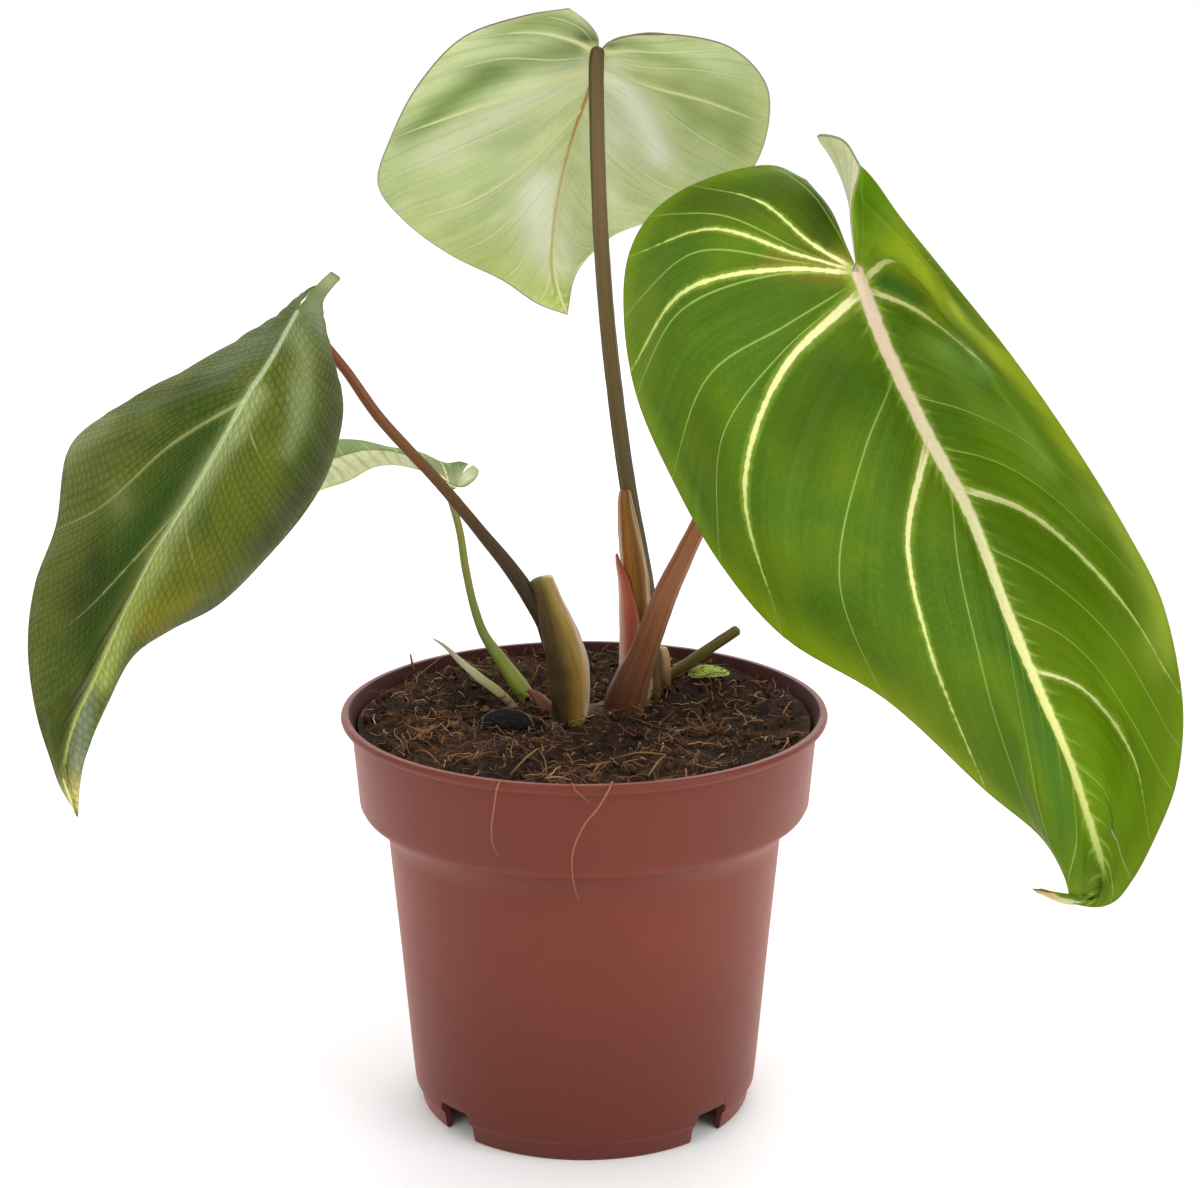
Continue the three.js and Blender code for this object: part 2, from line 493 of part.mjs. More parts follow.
// A thin plastic pot: a foot ring, a raised floor with drains round a dish that stands on the table,
// a tapering wall, a shoulder, a collar and a rolled lip.
function potSolid() {
  const outer = [
    [FOOT_RADIUS - 0.5, 0], [FOOT_RADIUS, 0.6], [FOOT_RADIUS + 0.7, 4.4], [FOOT_RADIUS + 1.7, 5.6],
    [SHOULDER_RADIUS - 0.2, SHOULDER_HEIGHT - 2], [SHOULDER_RADIUS + 0.6, SHOULDER_HEIGHT + 0.8],
    [SHOULDER_RADIUS + 3, SHOULDER_HEIGHT + 4], [COLLAR_RADIUS - 0.7, COLLAR_HEIGHT - 1.4],
    [COLLAR_RADIUS, COLLAR_HEIGHT], [COLLAR_RADIUS + 1.9, POT_HEIGHT - 5.6], [RIM_RADIUS - 0.6, POT_HEIGHT - 4.4],
    [RIM_RADIUS, POT_HEIGHT - 2.4], [RIM_RADIUS - 0.2, POT_HEIGHT - 0.5], [RIM_RADIUS - 0.8, POT_HEIGHT],
  ];
  const inner = [
    [RIM_RADIUS - 2.2, POT_HEIGHT], [RIM_RADIUS - 2.8, POT_HEIGHT - 0.8], [COLLAR_RADIUS + 0.7, POT_HEIGHT - 6],
    [COLLAR_RADIUS - WALL, COLLAR_HEIGHT + 0.4], [COLLAR_RADIUS - 1.9, COLLAR_HEIGHT - 0.8],
    [SHOULDER_RADIUS + 1.9, SHOULDER_HEIGHT + 4.2], [SHOULDER_RADIUS - 1.3, SHOULDER_HEIGHT - 1.2],
    [FOOT_RADIUS + 0.6, FLOOR_HEIGHT + WALL],
  ];
  const dish = [
    [DISH_RADIUS + 2, FLOOR_HEIGHT + WALL], [DISH_RADIUS - WALL, FLOOR_HEIGHT - 1.6],
    [DISH_RADIUS - WALL - 0.4, WALL], [0, WALL], [0, 0], [DISH_RADIUS - 0.6, 0], [DISH_RADIUS, 0.6],
    [DISH_RADIUS + 0.3, FLOOR_HEIGHT - 1.6], [DISH_RADIUS + 2.6, FLOOR_HEIGHT],
  ];
  const skirt = [[FOOT_RADIUS - WALL + 0.4, FLOOR_HEIGHT], [FOOT_RADIUS - WALL - 0.2, 0.4], [FOOT_RADIUS - WALL, 0]];
  const profile = [...dish.slice(4), ...skirt, ...outer, ...inner, ...dish.slice(0, 5)];
  const wall = toSolid(turned(profile, POT_SIDES));
  const drains = Array.from({ length: DRAIN.count }, (_, i) => {
    const angle = (2 * Math.PI * (i + 0.5)) / DRAIN.count;
    const drill = new THREE.CylinderGeometry(DRAIN.radius, DRAIN.radius, 3 * FLOOR_HEIGHT, 10);
    drill.rotateX(Math.PI / 2);
    drill.translate(DRAIN.circle * Math.cos(angle), DRAIN.circle * Math.sin(angle), FLOOR_HEIGHT);
    return toSolid(drill);
  });
  return cutAway(wall, ...drains, ...NOTCH.angles.map(notchSolid));
}

// The block that cuts one notch in the foot ring; its angle is measured from the pot's front.
function notchSolid(degrees) {
  const { width, height, corner } = NOTCH;
  const outline = new THREE.Shape();
  outline.moveTo(-width / 2, -height);
  outline.lineTo(width / 2, -height);
  outline.lineTo(width / 2, height - corner);
  outline.lineTo(width / 2 - corner, height);
  outline.lineTo(-width / 2 + corner, height);
  outline.lineTo(-width / 2, height - corner);
  const depth = 12;
  const block = new THREE.ExtrudeGeometry(outline, { depth, bevelEnabled: false });
  block.rotateX(Math.PI / 2);
  block.translate(0, -FOOT_RADIUS + depth / 2 + 1, 0);
  block.rotateZ(THREE.MathUtils.degToRad(degrees));
  return toSolid(block);
}

// Height of the soil's uneven top: broad heaps with finer crumbs on them, higher at the back.
function soilTop(x, y) {
  const heaps = Math.sin(0.13 * x + 1.3) * Math.cos(0.11 * y - 0.4) + 0.6 * Math.sin(0.21 * x - 0.17 * y);
  const crumbs = 0.45 * Math.sin(0.55 * x + 0.3 * y) * Math.sin(0.5 * y - 0.2 * x + 1);
  const edge = THREE.MathUtils.smoothstep(Math.hypot(x, y), 0.8 * SOIL_RADIUS, SOIL_RADIUS);
  return SOIL_TOP + SOIL_BUMP * (heaps + crumbs) * (1 - 0.6 * edge) + 0.014 * (y + 20);
}

// The soil fills the pot to just under its lip, clear of the wall by the gap.
function soilSolid() {
  const clear = (radius) => radius - WALL - 2 * GAP;
  const rings = [0.17, 0.33, 0.48, 0.62, 0.75, 0.87, 1];
  const profile = [
    [0, WALL + GAP], [DISH_RADIUS - WALL - 0.8, WALL + GAP], [DISH_RADIUS - WALL - 0.5, FLOOR_HEIGHT - 1.4],
    [DISH_RADIUS + 1.6, FLOOR_HEIGHT + WALL + GAP],
    [clear(FOOT_RADIUS) + 0.6, FLOOR_HEIGHT + WALL + GAP], [clear(SHOULDER_RADIUS) - 0.4, SHOULDER_HEIGHT],
    [clear(COLLAR_RADIUS) - 1, COLLAR_HEIGHT], [clear(COLLAR_RADIUS), COLLAR_HEIGHT + 3],
    ...rings.toReversed().map((part) => [part * SOIL_RADIUS, SOIL_TOP]), [0, SOIL_TOP],
  ];
  const geometry = turned(profile, SOIL_SIDES);
  const position = geometry.attributes.position;
  for (let i = 0; i < position.count; i += 1) {
    if (position.getZ(i) === Math.fround(SOIL_TOP)) {
      position.setZ(i, soilTop(position.getX(i), position.getY(i)));
    }
  }
  return toSolid(geometry);
}

function rhizomeSolid(extra = 0) {
  const roots = ROOTS.map((route) => stem(route, 6, 5, extra));
  return roots.reduce((whole, root) => whole.add(root), stem(RHIZOME, 10, 8, extra));
}

// A thin scrap lying on the soil: a flattened ball, arched along its length and turned to its heading.
function scrap({ at, length, width, thickness, arch, heading }, extra = 0) {
  const geometry = new THREE.SphereGeometry(1, 10, 6);
  geometry.scale(length / 2 + extra, width / 2 + extra, thickness / 2 + extra);
  const position = geometry.attributes.position;
  for (let i = 0; i < position.count; i += 1) {
    const across = position.getX(i) / (length / 2 + extra);
    position.setZ(i, position.getZ(i) - arch * across * across);
  }
  geometry.rotateZ(THREE.MathUtils.degToRad(heading));
  geometry.translate(...at);
  return toSolid(geometry);
}

const BARK_CHIP = { at: [-19.5, 2.5, 99.6], length: 14, width: 8, thickness: 1.4, arch: 2.2, heading: -8 };
const GREEN_CHIP = { at: [33.5, 35.5, 99.4], length: 11.5, width: 6, thickness: 1.1, arch: 0.8, heading: 10 };

const stems = [
  { name: "right_stalk", route: RIGHT_STALK, sides: 10, steps: 14, look: LOOKS.pinkStalk },
  { name: "back_stalk", route: BACK_STALK, sides: 8, steps: 12, look: LOOKS.darkStalk },
  { name: "left_stalk", route: LEFT_STALK, sides: 8, steps: 14, look: LOOKS.darkStalk },
  { name: "young_stalk", route: YOUNG_STALK, sides: 6, steps: 12, look: LOOKS.greenStalk },
  { name: "left_sheath", route: LEFT_SHEATH, sides: 10, steps: 7, look: LOOKS.oliveSheath },
  { name: "back_sheath", route: BACK_SHEATH, sides: 10, steps: 8, look: LOOKS.brownSheath },
  { name: "red_bract", route: RED_BRACT, sides: 8, steps: 7, look: LOOKS.redBract },
  { name: "olive_stub", route: OLIVE_STUB, sides: 8, steps: 4, look: LOOKS.oliveSheath },
  { name: "pale_stub", route: PALE_STUB, sides: 7, steps: 4, look: LOOKS.palePulp },
  { name: "dry_strip", route: DRY_STRIP, sides: 6, steps: 6, flat: 0.6, look: LOOKS.dryStrip },
  { name: "small_bract", route: SMALL_BRACT, sides: 6, steps: 3, look: LOOKS.redBract },
];

const blades = [
  { name: "right_blade", shape: RIGHT_BLADE, thickness: BLADE_THICKNESS, look: LOOKS.blade },
  { name: "back_blade", shape: BACK_BLADE, thickness: BLADE_THICKNESS, look: LOOKS.paleBlade },
  { name: "left_blade", shape: LEFT_BLADE, thickness: BLADE_THICKNESS, look: LOOKS.blade },
  { name: "young_blade", shape: YOUNG_BLADE, thickness: YOUNG_THICKNESS, look: LOOKS.paleBlade },
];

const plant = new THREE.Group();

// What has been built so far, each fattened by the gap, is cut from whatever is built after it.
const clearances = [];

blades.forEach(({ name, shape, thickness, look }) => {
  const sheet = bladeSheet(shape);
  const shift = new THREE.Vector3(...shape.insertion);
  sheet.points.forEach((point) => point.add(shift));
  clearances.push(bladeSolid(sheet, thickness, BLADE_GAP));
  plant.add(piece(name, toGeometry(bladeSolid(sheet, thickness)), look, shape.insertion));
});

plant.add(piece("rhizome", toGeometry(rhizomeSolid()), LOOKS.rhizome, RHIZOME[0].slice(0, 3)));
clearances.push(rhizomeSolid(GAP));

stems.forEach(({ name, route, sides, steps, flat, look }) => {
  const solid = cutAway(stem(route, sides, steps, 0, flat), ...clearances);
  plant.add(piece(name, toGeometry(solid), look, route[0].slice(0, 3)));
  clearances.push(stem(route, sides, steps, GAP, flat));
});

plant.add(piece("bark_chip", toGeometry(cutAway(scrap(BARK_CHIP), ...clearances)), LOOKS.darkChip, BARK_CHIP.at));
plant.add(piece("green_chip", toGeometry(scrap(GREEN_CHIP)), LOOKS.greenChip, GREEN_CHIP.at));
clearances.push(scrap(BARK_CHIP, GAP), scrap(GREEN_CHIP, GAP));

const potted = new THREE.Group();
potted.add(piece("pot", toGeometry(potSolid()), LOOKS.pot));
potted.add(piece("soil", toGeometry(cutAway(soilSolid(), ...clearances)), LOOKS.soil));
potted.add(plant);

export default potted;
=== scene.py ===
"""A heart-leaved philodendron in a plastic nursery pot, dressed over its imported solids.

Run as a script, it builds every piece, the studio and the camera. The lengths in the tables are
millimetres in the frame's own axes: +Z up, -Y towards the viewer, and the origin under the pot.
"""

import math
import random

import bmesh
import bpy
import numpy as np
from mathutils import Matrix, Vector, noise


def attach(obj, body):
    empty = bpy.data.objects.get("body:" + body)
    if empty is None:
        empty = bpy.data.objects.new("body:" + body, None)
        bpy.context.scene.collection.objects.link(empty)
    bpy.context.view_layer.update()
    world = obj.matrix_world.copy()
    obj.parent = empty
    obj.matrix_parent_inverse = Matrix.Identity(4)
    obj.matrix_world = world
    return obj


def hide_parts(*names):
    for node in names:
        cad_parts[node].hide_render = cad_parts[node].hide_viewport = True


bl_info = {
    "name": "Potted Heart-Leaved Philodendron",
    "version": (1, 0, 0),
    "blender": (4, 5, 0),
    "location": "3D View > Sidebar > Plant",
    "description": "Builds a potted foliage plant piece by piece around its packed solids",
    "category": "Add Mesh",
}

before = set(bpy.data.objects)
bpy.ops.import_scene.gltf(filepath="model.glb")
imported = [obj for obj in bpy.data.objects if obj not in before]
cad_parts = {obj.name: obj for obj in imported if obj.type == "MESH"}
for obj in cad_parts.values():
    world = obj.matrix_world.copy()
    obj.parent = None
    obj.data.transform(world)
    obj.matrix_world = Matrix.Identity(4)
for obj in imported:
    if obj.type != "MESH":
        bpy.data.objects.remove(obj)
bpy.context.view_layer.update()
BODY = "root"
MM = 0.001
WELD_DISTANCE = 0.006

# The pot, as in its solid
RIM_RADIUS = 60.0
POT_HEIGHT = 102.0
FOOT_RADIUS = 41.6
WALL = 1.2
SHOULDER_HEIGHT = 71.5
SHOULDER_RADIUS = 49.0
COLLAR_HEIGHT = 79.5
COLLAR_RADIUS = 55.8
COLLAR_SLOPE = 0.08
FLOOR_HEIGHT = 8.6
DISH_RADIUS = 12.0
DRAIN_COUNT = 6
DRAIN_RADIUS = 3.0
DRAIN_CIRCLE = 27.0
INSIDE_HEIGHT = 75.0
SHARPEST_SMOOTH = 32
POT_SMOOTHING = 40
NOTCH_WIDTH = 10.6
NOTCH_HEIGHT = 8.0
NOTCH_ANGLES = (46.2, 132.5, 226.5, 312.5)

# The soil, as in its solid
SOIL_TOP = 97.2
SOIL_RADIUS = 55.9
SOIL_BUMP = 1.1
SOIL_HEAP = 1.6
SOIL_TURNS = 200
SOIL_RINGS = 90
STREWN_REACH = 0.97
PEAT_SCALE = 420
LITTER_SEED = 11
CRUMB_KINDS = 5
THREAD_KINDS = 8
FULL_TURN = 6.28

# Each blade hangs from its insertion, in the notch where its stalk joins. Its midrib is a curve
# through points from there, and on each side a fan of ribs runs out to the edge. A rib is (where it
# leaves the midrib, counted in midrib points; two points on its way; its end on the edge). The first
# rib is the lobe's inner edge. The strong ribs are veins: (rib, half width at the root, how far out it
# stays pale, and for some the share of the width that is kept). `facing` says which way round the
# blade's upper side lies.

RIGHT_BLADE = {
    "insertion": (64.5, -4, 210.5),
    "midrib": [
        (0, 0, 0), (6, -3, -16), (16, -7.5, -36.5), (25.5, -14, -53.5), (33.5, -23, -74), (40, -31, -90),
        (47, -38.5, -106), (52.5, -44, -122), (56, -44.5, -132.5), (56, -41.5, -139.5), (50, -38, -143.5),
        (41, -36.5, -140.5),
    ],
    "left": [
        (0, (-2.5, 2.5, 5.5), (-6, 7, 13.5), (-11.5, 12.5, 20)),
        (0, (-4.5, 2, 8), (-11, 5.5, 17), (-20, 12.5, 23.5)),
        (0, (-11, -0.5, 6.5), (-23, 1, 16), (-39, 10.5, 19)),
        (0, (-13.5, -1.5, 5), (-30.5, -3, 12.5), (-49, 11.5, 11.5)),
        (0, (-15, -3, 4.5), (-34, -5.5, 10.5), (-54, 10, 2)),
        (0, (-16.5, -4.5, 3), (-37.5, -8, 5.5), (-55, 6, -12)),
        (0.05, (-20, -6, 0), (-41, -11, -7), (-52, 1.5, -30)),
        (0.12, (-17.5, -9, -11.5), (-34.5, -14, -21.5), (-43.5, -4.5, -49)),
        (0.18, (-18.5, -11, -17.5), (-31.5, -17.5, -34.5), (-32, -10, -68.5)),
        (0.25, (-18.5, -12, -22), (-27, -20.5, -47), (-17, -13.5, -85.5)),
        (1.35, (1, -15.5, -39.5), (-5, -26, -67), (7.5, -17.5, -100)),
        (2.1, (11, -22, -59.5), (15.5, -31.5, -82.5), (31.5, -24, -121)),
        (2.6, (22.5, -22.5, -64.5), (28.5, -34.5, -90), (42.5, -32.5, -128.5)),
        (4, (35, -33.5, -90), (39.5, -42, -111.5), (46, -40.5, -132.5)),
        (6.2, (48.5, -43.5, -116), (49, -45.5, -127.5), (48.5, -41, -138.5)),
        (9, (54, -43.5, -139), (51.5, -41, -141), (49, -38, -143.5)),
    ],
    "left_veins": [(2, 0.5, 0.8, 0.6), (4, 0.52, 0.9, 0.7), (5.7, 0.52, 1, 0.8), (9, 1.15, 0.9, 0.4),
        (11, 0.95, 0.95)],
    "right": [
        (0, (-1, -2, 7.5), (-2, -5, 16), (-0.5, -8, 25)),
        (0, (-1.5, -1, 8.5), (-3, -1, 19), (-4.5, -5, 31)),
        (0, (-1, 2.5, 9), (-4, 5.5, 20.5), (-10, 1, 31.5)),
        (0, (1, 6, 7.5), (1.5, 10.5, 15.5), (1.5, 6, 23)),
        (0, (4, 7.2, 6.2), (7.8, 9.2, 9.8), (9, -2.5, 13)),
        (0, (8, 7, 2.5), (16.8, 7.4, 0.4), (17.5, -20, 2.5)),
        (0.15, (9, 6.5, 1.5), (22.5, 4.5, -11), (31.5, -32, -14.5)),
        (0.25, (14, 2.5, -9.5), (31, 1.5, -22.5), (45, -36.5, -33)),
        (1.6, (29, -4, -34), (46, -7.5, -43.5), (58, -42, -53.5)),
        (2.2, (35.5, -7, -45.5), (54, -13.5, -58), (65.5, -46, -68)),
        (2.75, (41, -10.5, -56), (60, -19.5, -72.5), (70, -51.5, -88.5)),
        (3.4, (45.5, -18, -71), (60.5, -25.5, -84), (70, -54.5, -100)),
        (4.1, (49, -24.5, -83.5), (60.5, -31.5, -95.5), (68, -58, -109)),
        (4.9, (52, -30, -93.5), (62.5, -36.5, -106.5), (63.5, -59, -121)),
        (6.1, (55.5, -41, -114.5), (58.5, -45.5, -124), (60.5, -54.5, -131.5)),
        (7.6, (57, -46.5, -131.5), (58, -48.5, -135.5), (57.5, -47.5, -140)),
        (9.2, (55, -42, -141), (54, -41, -142.5), (53, -40.5, -143.5)),
    ],
    "right_veins": [(6, 0.85, 0.36, 0.8), (7, 0.8, 0.66, 0.5), (10, 0.9, 0.98), (13, 0.45, 0.85, 0.6)],
    "facing": -1,
}

LEFT_BLADE = {
    "insertion": (-67, -10, 202),
    "midrib": [
        (0, 0, 0), (-5.5, -10, -10), (-10.5, -15, -17.5), (-15, -17, -25.5), (-23.5, -19, -39.5),
        (-33, -18.5, -54), (-41.5, -17.5, -70), (-48.8, -16.5, -85.5), (-54.1, -16.5, -96.5),
        (-56.4, -17, -107), (-53.3, -20, -118),
    ],
    "left": [
        (0, (1.5, 6.5, 2), (3, 12.5, 3.5), (4.5, 15.5, 4.5)),
        (0, (0, 4.5, 1), (0, 9.5, 1.5), (0, 13.5, 1)),
        (0, (-3, 1.5, -2), (-5, 7.5, -3), (-7, 13, -5)),
        (0.3, (-8, -1, -6.5), (-13, 4, -8), (-18, 11.5, -11.5)),
        (1.1, (-18.5, -8.5, -16), (-31, -3.5, -20.5), (-45.5, 9, -25)),
        (1.5, (-22.5, -11, -18.5), (-38, -7, -25.5), (-56, 6.5, -33.5)),
        (2, (-28, -13.5, -28), (-44.5, -12.5, -42.5), (-59, -0.5, -51.5)),
        (3, (-33.5, -16.5, -41.5), (-48.5, -14.5, -55), (-64, -4, -65)),
        (4, (-38.5, -17, -55.5), (-51.5, -15, -68.5), (-66, -6.5, -79.5)),
        (5.1, (-46, -16, -75), (-55.5, -15, -88), (-64, -11, -94.5)),
        (6.7, (-52.2, -16, -89.5), (-57.8, -15, -98.5), (-60.7, -13, -106)),
        (8.3, (-57, -16.8, -103.2), (-58.2, -16.5, -108), (-58.2, -16, -111.5)),
    ],
    "left_veins": [(6.1, 0.5, 0.97), (8.1, 0.25, 0.6)],
    "right": [
        (0, (2, 6.8, 2.7), (4, 12.2, 4.9), (6.6, 16.5, 7)),
        (0, (2.4, 6.4, 2.1), (5, 12.3, 3.9), (8.7, 16.6, 5.3)),
        (0, (2.7, 6, 1.5), (4.7, 12, 2.6), (7.3, 16.4, 3.6)),
        (0, (2.9, 5.2, 0.5), (4.1, 11.4, 0.6), (4.7, 16, 0)),
        (0, (3, 4, -1.5), (4, 10.5, -2.7), (4.2, 16.4, -4.8)),
        (0, (2.5, -0.5, -5.5), (5.1, 6.5, -10), (6.7, 14.5, -14.5)),
        (0.3, (1.5, -7, -11), (6, 1.5, -18), (9, 14, -25)),
        (0.7, (0.5, -11.5, -15.5), (3.5, -5, -27.5), (6, 11.5, -39)),
        (2, (-7, -16.5, -27.5), (-3, -9, -38.5), (0.5, 8.5, -49)),
        (3, (-14, -19.5, -37.5), (-10.5, -14, -48), (-9.5, 3.5, -60.5)),
        (4, (-22, -20.5, -50), (-20.5, -16, -59.5), (-21, -1.5, -71)),
        (5, (-31.5, -20, -63.5), (-31, -15.5, -69.5), (-32, -6, -76)),
        (6, (-40.5, -17, -75), (-40, -14.5, -78), (-40, -10, -81)),
        (7, (-47, -16.5, -88.5), (-46.5, -15, -90.5), (-46.5, -12, -92.5)),
        (8.4, (-51.5, -17.5, -103.5), (-51.5, -16.5, -104), (-51.5, -15.5, -104)),
        (9.2, (-54, -18.5, -111.5), (-53, -18.5, -111), (-53, -17, -111)),
    ],
    "right_veins": [(8.2, 0.12, 0.35), (10.2, 0.12, 0.35)],
    "facing": -1,
}

BACK_BLADE = {
    "insertion": (3.5, 28, 259),
    "midrib": [
        (0, 0, 0), (-2.5, 18.5, -9), (-6.5, 33.5, -21), (-10, 46.5, -35.5), (-12, 54.5, -48),
        (-12.5, 58.5, -59.5), (-11, 60.5, -67.5), (-8.5, 61, -73.5),
    ],
    "left": [
        (0, (0, -2, 3.5), (-2.5, -6.5, 7.5), (-7, -9.5, 11)),
        (0, (-2.5, -2, 4.5), (-9, -8, 8), (-17.5, -13, 9.5)),
        (0, (-4.5, -0.5, 2.5), (-15, -8, 5.5), (-32, -11.5, 4.5)),
        (0.1, (-9.5, 1.5, -2), (-24, -2.5, -1.5), (-43, -6, -6.5)),
        (0.3, (-13, 6, -8), (-31.5, 2.5, -13.5), (-51, 2.5, -20.5)),
        (0.7, (-16, 12.5, -16), (-34.5, 10, -24), (-55, 10, -32.5)),
        (1.5, (-19, 27, -29.5), (-33.5, 25, -38.5), (-49.5, 21.5, -43)),
        (2.4, (-20.5, 42.5, -43), (-29, 38.5, -50), (-38.5, 33.5, -53.5)),
        (3.6, (-18.5, 51.5, -54.5), (-21.5, 48.5, -59), (-25.5, 43.5, -61.5)),
        (5, (-13.5, 58.5, -64.5), (-14.5, 55.5, -67), (-16.5, 52, -69)),
    ],
    "left_veins": [(2, 1, 0.8), (4, 1.1, 0.9), (6, 1, 0.9)],
    "right": [
        (0, (1.5, -2.5, 2), (3.5, -7.5, 3.5), (8.5, -11, 5)),
        (0, (3.5, -3.5, 3), (10, -9.5, 4), (20, -14.5, 5)),
        (0, (6.5, -2, 1), (17, -8, 1), (31.5, -11, 2)),
        (0.1, (9.5, 2, -3.5), (24, 1, -4.5), (40.5, -2, -7)),
        (0.3, (11, 7.5, -7.5), (27, 8, -12), (42, 7.5, -17.5)),
        (0.5, (10.5, 13.5, -10.5), (23.5, 15, -20.5), (39, 19, -29.5)),
        (1.5, (3.5, 33, -24.5), (16, 34, -34.5), (30.5, 33, -39.5)),
        (2.6, (-1.5, 46.5, -42), (5.5, 46, -45.5), (13.5, 45.5, -46)),
        (3.7, (-6, 55, -53.5), (-1.5, 54, -54.5), (2.5, 52.5, -51.5)),
        (5, (-10, 59.5, -63), (-7.5, 59.5, -63), (-6, 59, -62)),
    ],
    "right_veins": [(2, 1, 0.8), (4, 1.1, 0.9), (6, 1, 0.9)],
    "facing": 1,
}

YOUNG_BLADE = {
    "insertion": (-33.5, 34, 150),
    "midrib": [
        (0, 0, 0), (-2.5, -0.5, 2.5), (-7, -1, 5), (-12, -1.5, 6.5), (-16.5, -2.5, 7), (-21, -2.5, 6),
        (-26.5, -3.5, 3), (-32.5, -4, 1), (-38.5, -4.5, -1.5),
    ],
    "left": [
        (0, (2, 0.5, 3), (3.5, 1.5, 4.5), (5, 1.5, 5.5)),
        (0, (2.5, -0.5, 2.5), (5, -1, 3.5), (6.5, -3, 5)),
        (0, (2.5, -1.5, 1.5), (4, -4.5, 2.5), (5.5, -7.5, 3.5)),
        (0, (1, -3, 1), (2, -7, 2), (2.5, -10.5, 2.5)),
        (0.4, (-1.5, -3.5, 1.5), (-2, -7.5, 3.5), (-2.5, -11, 5)),
        (1.6, (-5.5, -4, 5), (-6.5, -7.5, 7), (-7.5, -11, 9)),
        (3, (-12, -4.5, 7), (-13, -8, 9), (-13.5, -10.5, 11.5)),
        (4.3, (-18, -5.5, 7), (-19.5, -8, 9.5), (-21, -10.5, 12)),
        (5.5, (-24, -6, 5.5), (-26, -8, 8), (-28, -9.5, 10)),
        (6.8, (-31, -5.5, 3), (-32.5, -8, 5.5), (-34.5, -8.5, 7)),
    ],
    "left_veins": [(3, 0.4, 0.6), (6, 0.4, 0.6)],
    "right": [
        (0, (2, 3, 3), (2.5, 4, 4), (3.5, 5.5, 5)),
        (0, (1, 5, 3), (1, 8, 3.5), (1, 10.5, 4.5)),
        (0, (-0.5, 5, 2.5), (-1.5, 9, 3.5), (-2.5, 13.5, 3.5)),
        (0.5, (-2.5, 5, 3.5), (-4, 10.5, 4.5), (-6, 14.5, 4.5)),
        (1.8, (-7.5, 4.5, 6), (-9, 11, 6.5), (-11, 15, 6.5)),
        (3.2, (-13.5, 4, 7), (-15.5, 10.5, 7.5), (-17, 14.5, 7.5)),
        (4.5, (-20, 3, 7.5), (-23, 9.5, 8.5), (-25.5, 14, 9.5)),
        (5.8, (-27, 1.5, 6), (-30, 7.5, 8.5), (-33, 12, 9.5)),
        (7, (-33.5, -1.5, 2.5), (-35.5, 2.5, 5), (-37.5, 6, 6.5)),
    ],
    "right_veins": [(3, 0.4, 0.6), (5, 0.4, 0.6)],
    "facing": 1,
}

# Routes of the stems, as (x, y, z, radius)
RIGHT_STALK = [
    (8.3, 8, 92, 4), (8.6, 8, 96.5, 4.2), (9.8, 8, 101.5, 4.6), (11.8, 8, 107, 4.1), (14.3, 8, 113, 3.5),
    (20.2, 7, 129.5, 2.9), (27, 6, 144.5, 2.25), (38, 6, 168, 1.9), (52, 6, 191.5, 1.8),
    (61, 2.5, 202, 1.8), (64.6, -1.4, 206.6, 1.8), (65.2, -2.9, 208.4, 1.6),
]
BACK_STALK = [
    (17, 23, 91, 3.4), (16.5, 24, 109.5, 2.7), (15.5, 25, 125.5, 2.2), (11, 27, 151, 2.05),
    (7.5, 28, 176, 2), (5, 29, 201, 1.95), (3.5, 28.5, 228.5, 1.85), (3, 27.5, 249, 1.8),
    (3, 27, 256.5, 1.8), (3.4, 27, 260.6, 1.5),
]
LEFT_STALK = [
    (-5, 1.2, 92, 2.4), (-5.6, 1.2, 100, 2.4), (-6.2, 1.4, 111, 2.4), (-8.8, 1.8, 121, 2.2),
    (-15.8, 2.5, 133.5, 1.95), (-25.5, 5, 145.5, 1.5), (-36, 8, 157.5, 1.4), (-50, 11, 172.5, 1.35),
    (-58.5, 11, 185, 1.25), (-65, 4, 194.5, 1.25), (-68.5, -11, 197.5, 1.25),
]
YOUNG_STALK = [
    (-13, 22, 94, 2.2), (-16.5, 23, 100, 2.2), (-19.5, 24.5, 104, 1.9), (-22.5, 26, 108, 1.55),
    (-26, 28, 113, 1.2), (-28.5, 29.5, 120, 1.05), (-30.5, 31, 129, 1), (-32, 32.5, 139, 0.95),
    (-34.2, 33.8, 147, 0.95), (-35.2, 33.8, 150.4, 0.9),
]
LEFT_SHEATH = [
    (-3.4, 1.8, 93, 3.4), (-3.4, 1.8, 98.5, 3.9), (-3.5, 2, 104, 4.7), (-4.1, 2.2, 111.5, 5),
    (-5.8, 2.3, 118.5, 4.7), (-8.1, 2.3, 125.5, 4.1), (-9.7, 2.2, 130.8, 3.4), (-10.7, 2.2, 134.6, 2.9),
]
BACK_SHEATH = [
    (12.8, 20, 93, 4), (13, 20, 111, 4), (12.9, 21, 123.5, 3.7), (12.3, 22.3, 132.5, 3.2),
    (11.2, 23.4, 141, 2.7), (10.3, 24, 147.5, 2), (10.1, 24.6, 151.5, 1.3),
]
RED_BRACT = [
    (11.5, 15, 98, 3), (11.5, 15.5, 112, 2.8), (11, 16.5, 121, 2.4), (10, 18, 128.5, 1.5),
    (8.5, 20, 133.5, 0.7), (8, 20.5, 136, 0.3),
]
OLIVE_STUB = [
    (17.5, 32, 97, 1.6), (22.5, 33, 100.5, 1.5), (31.5, 34.5, 106.5, 1.45), (40, 36, 112, 1.4),
]
PALE_STUB = [
    (20, 27, 95, 2.2), (19.9, 27, 103, 2.2), (19.7, 27.2, 107.5, 2.1), (19.5, 27.2, 109.6, 1.7),
]
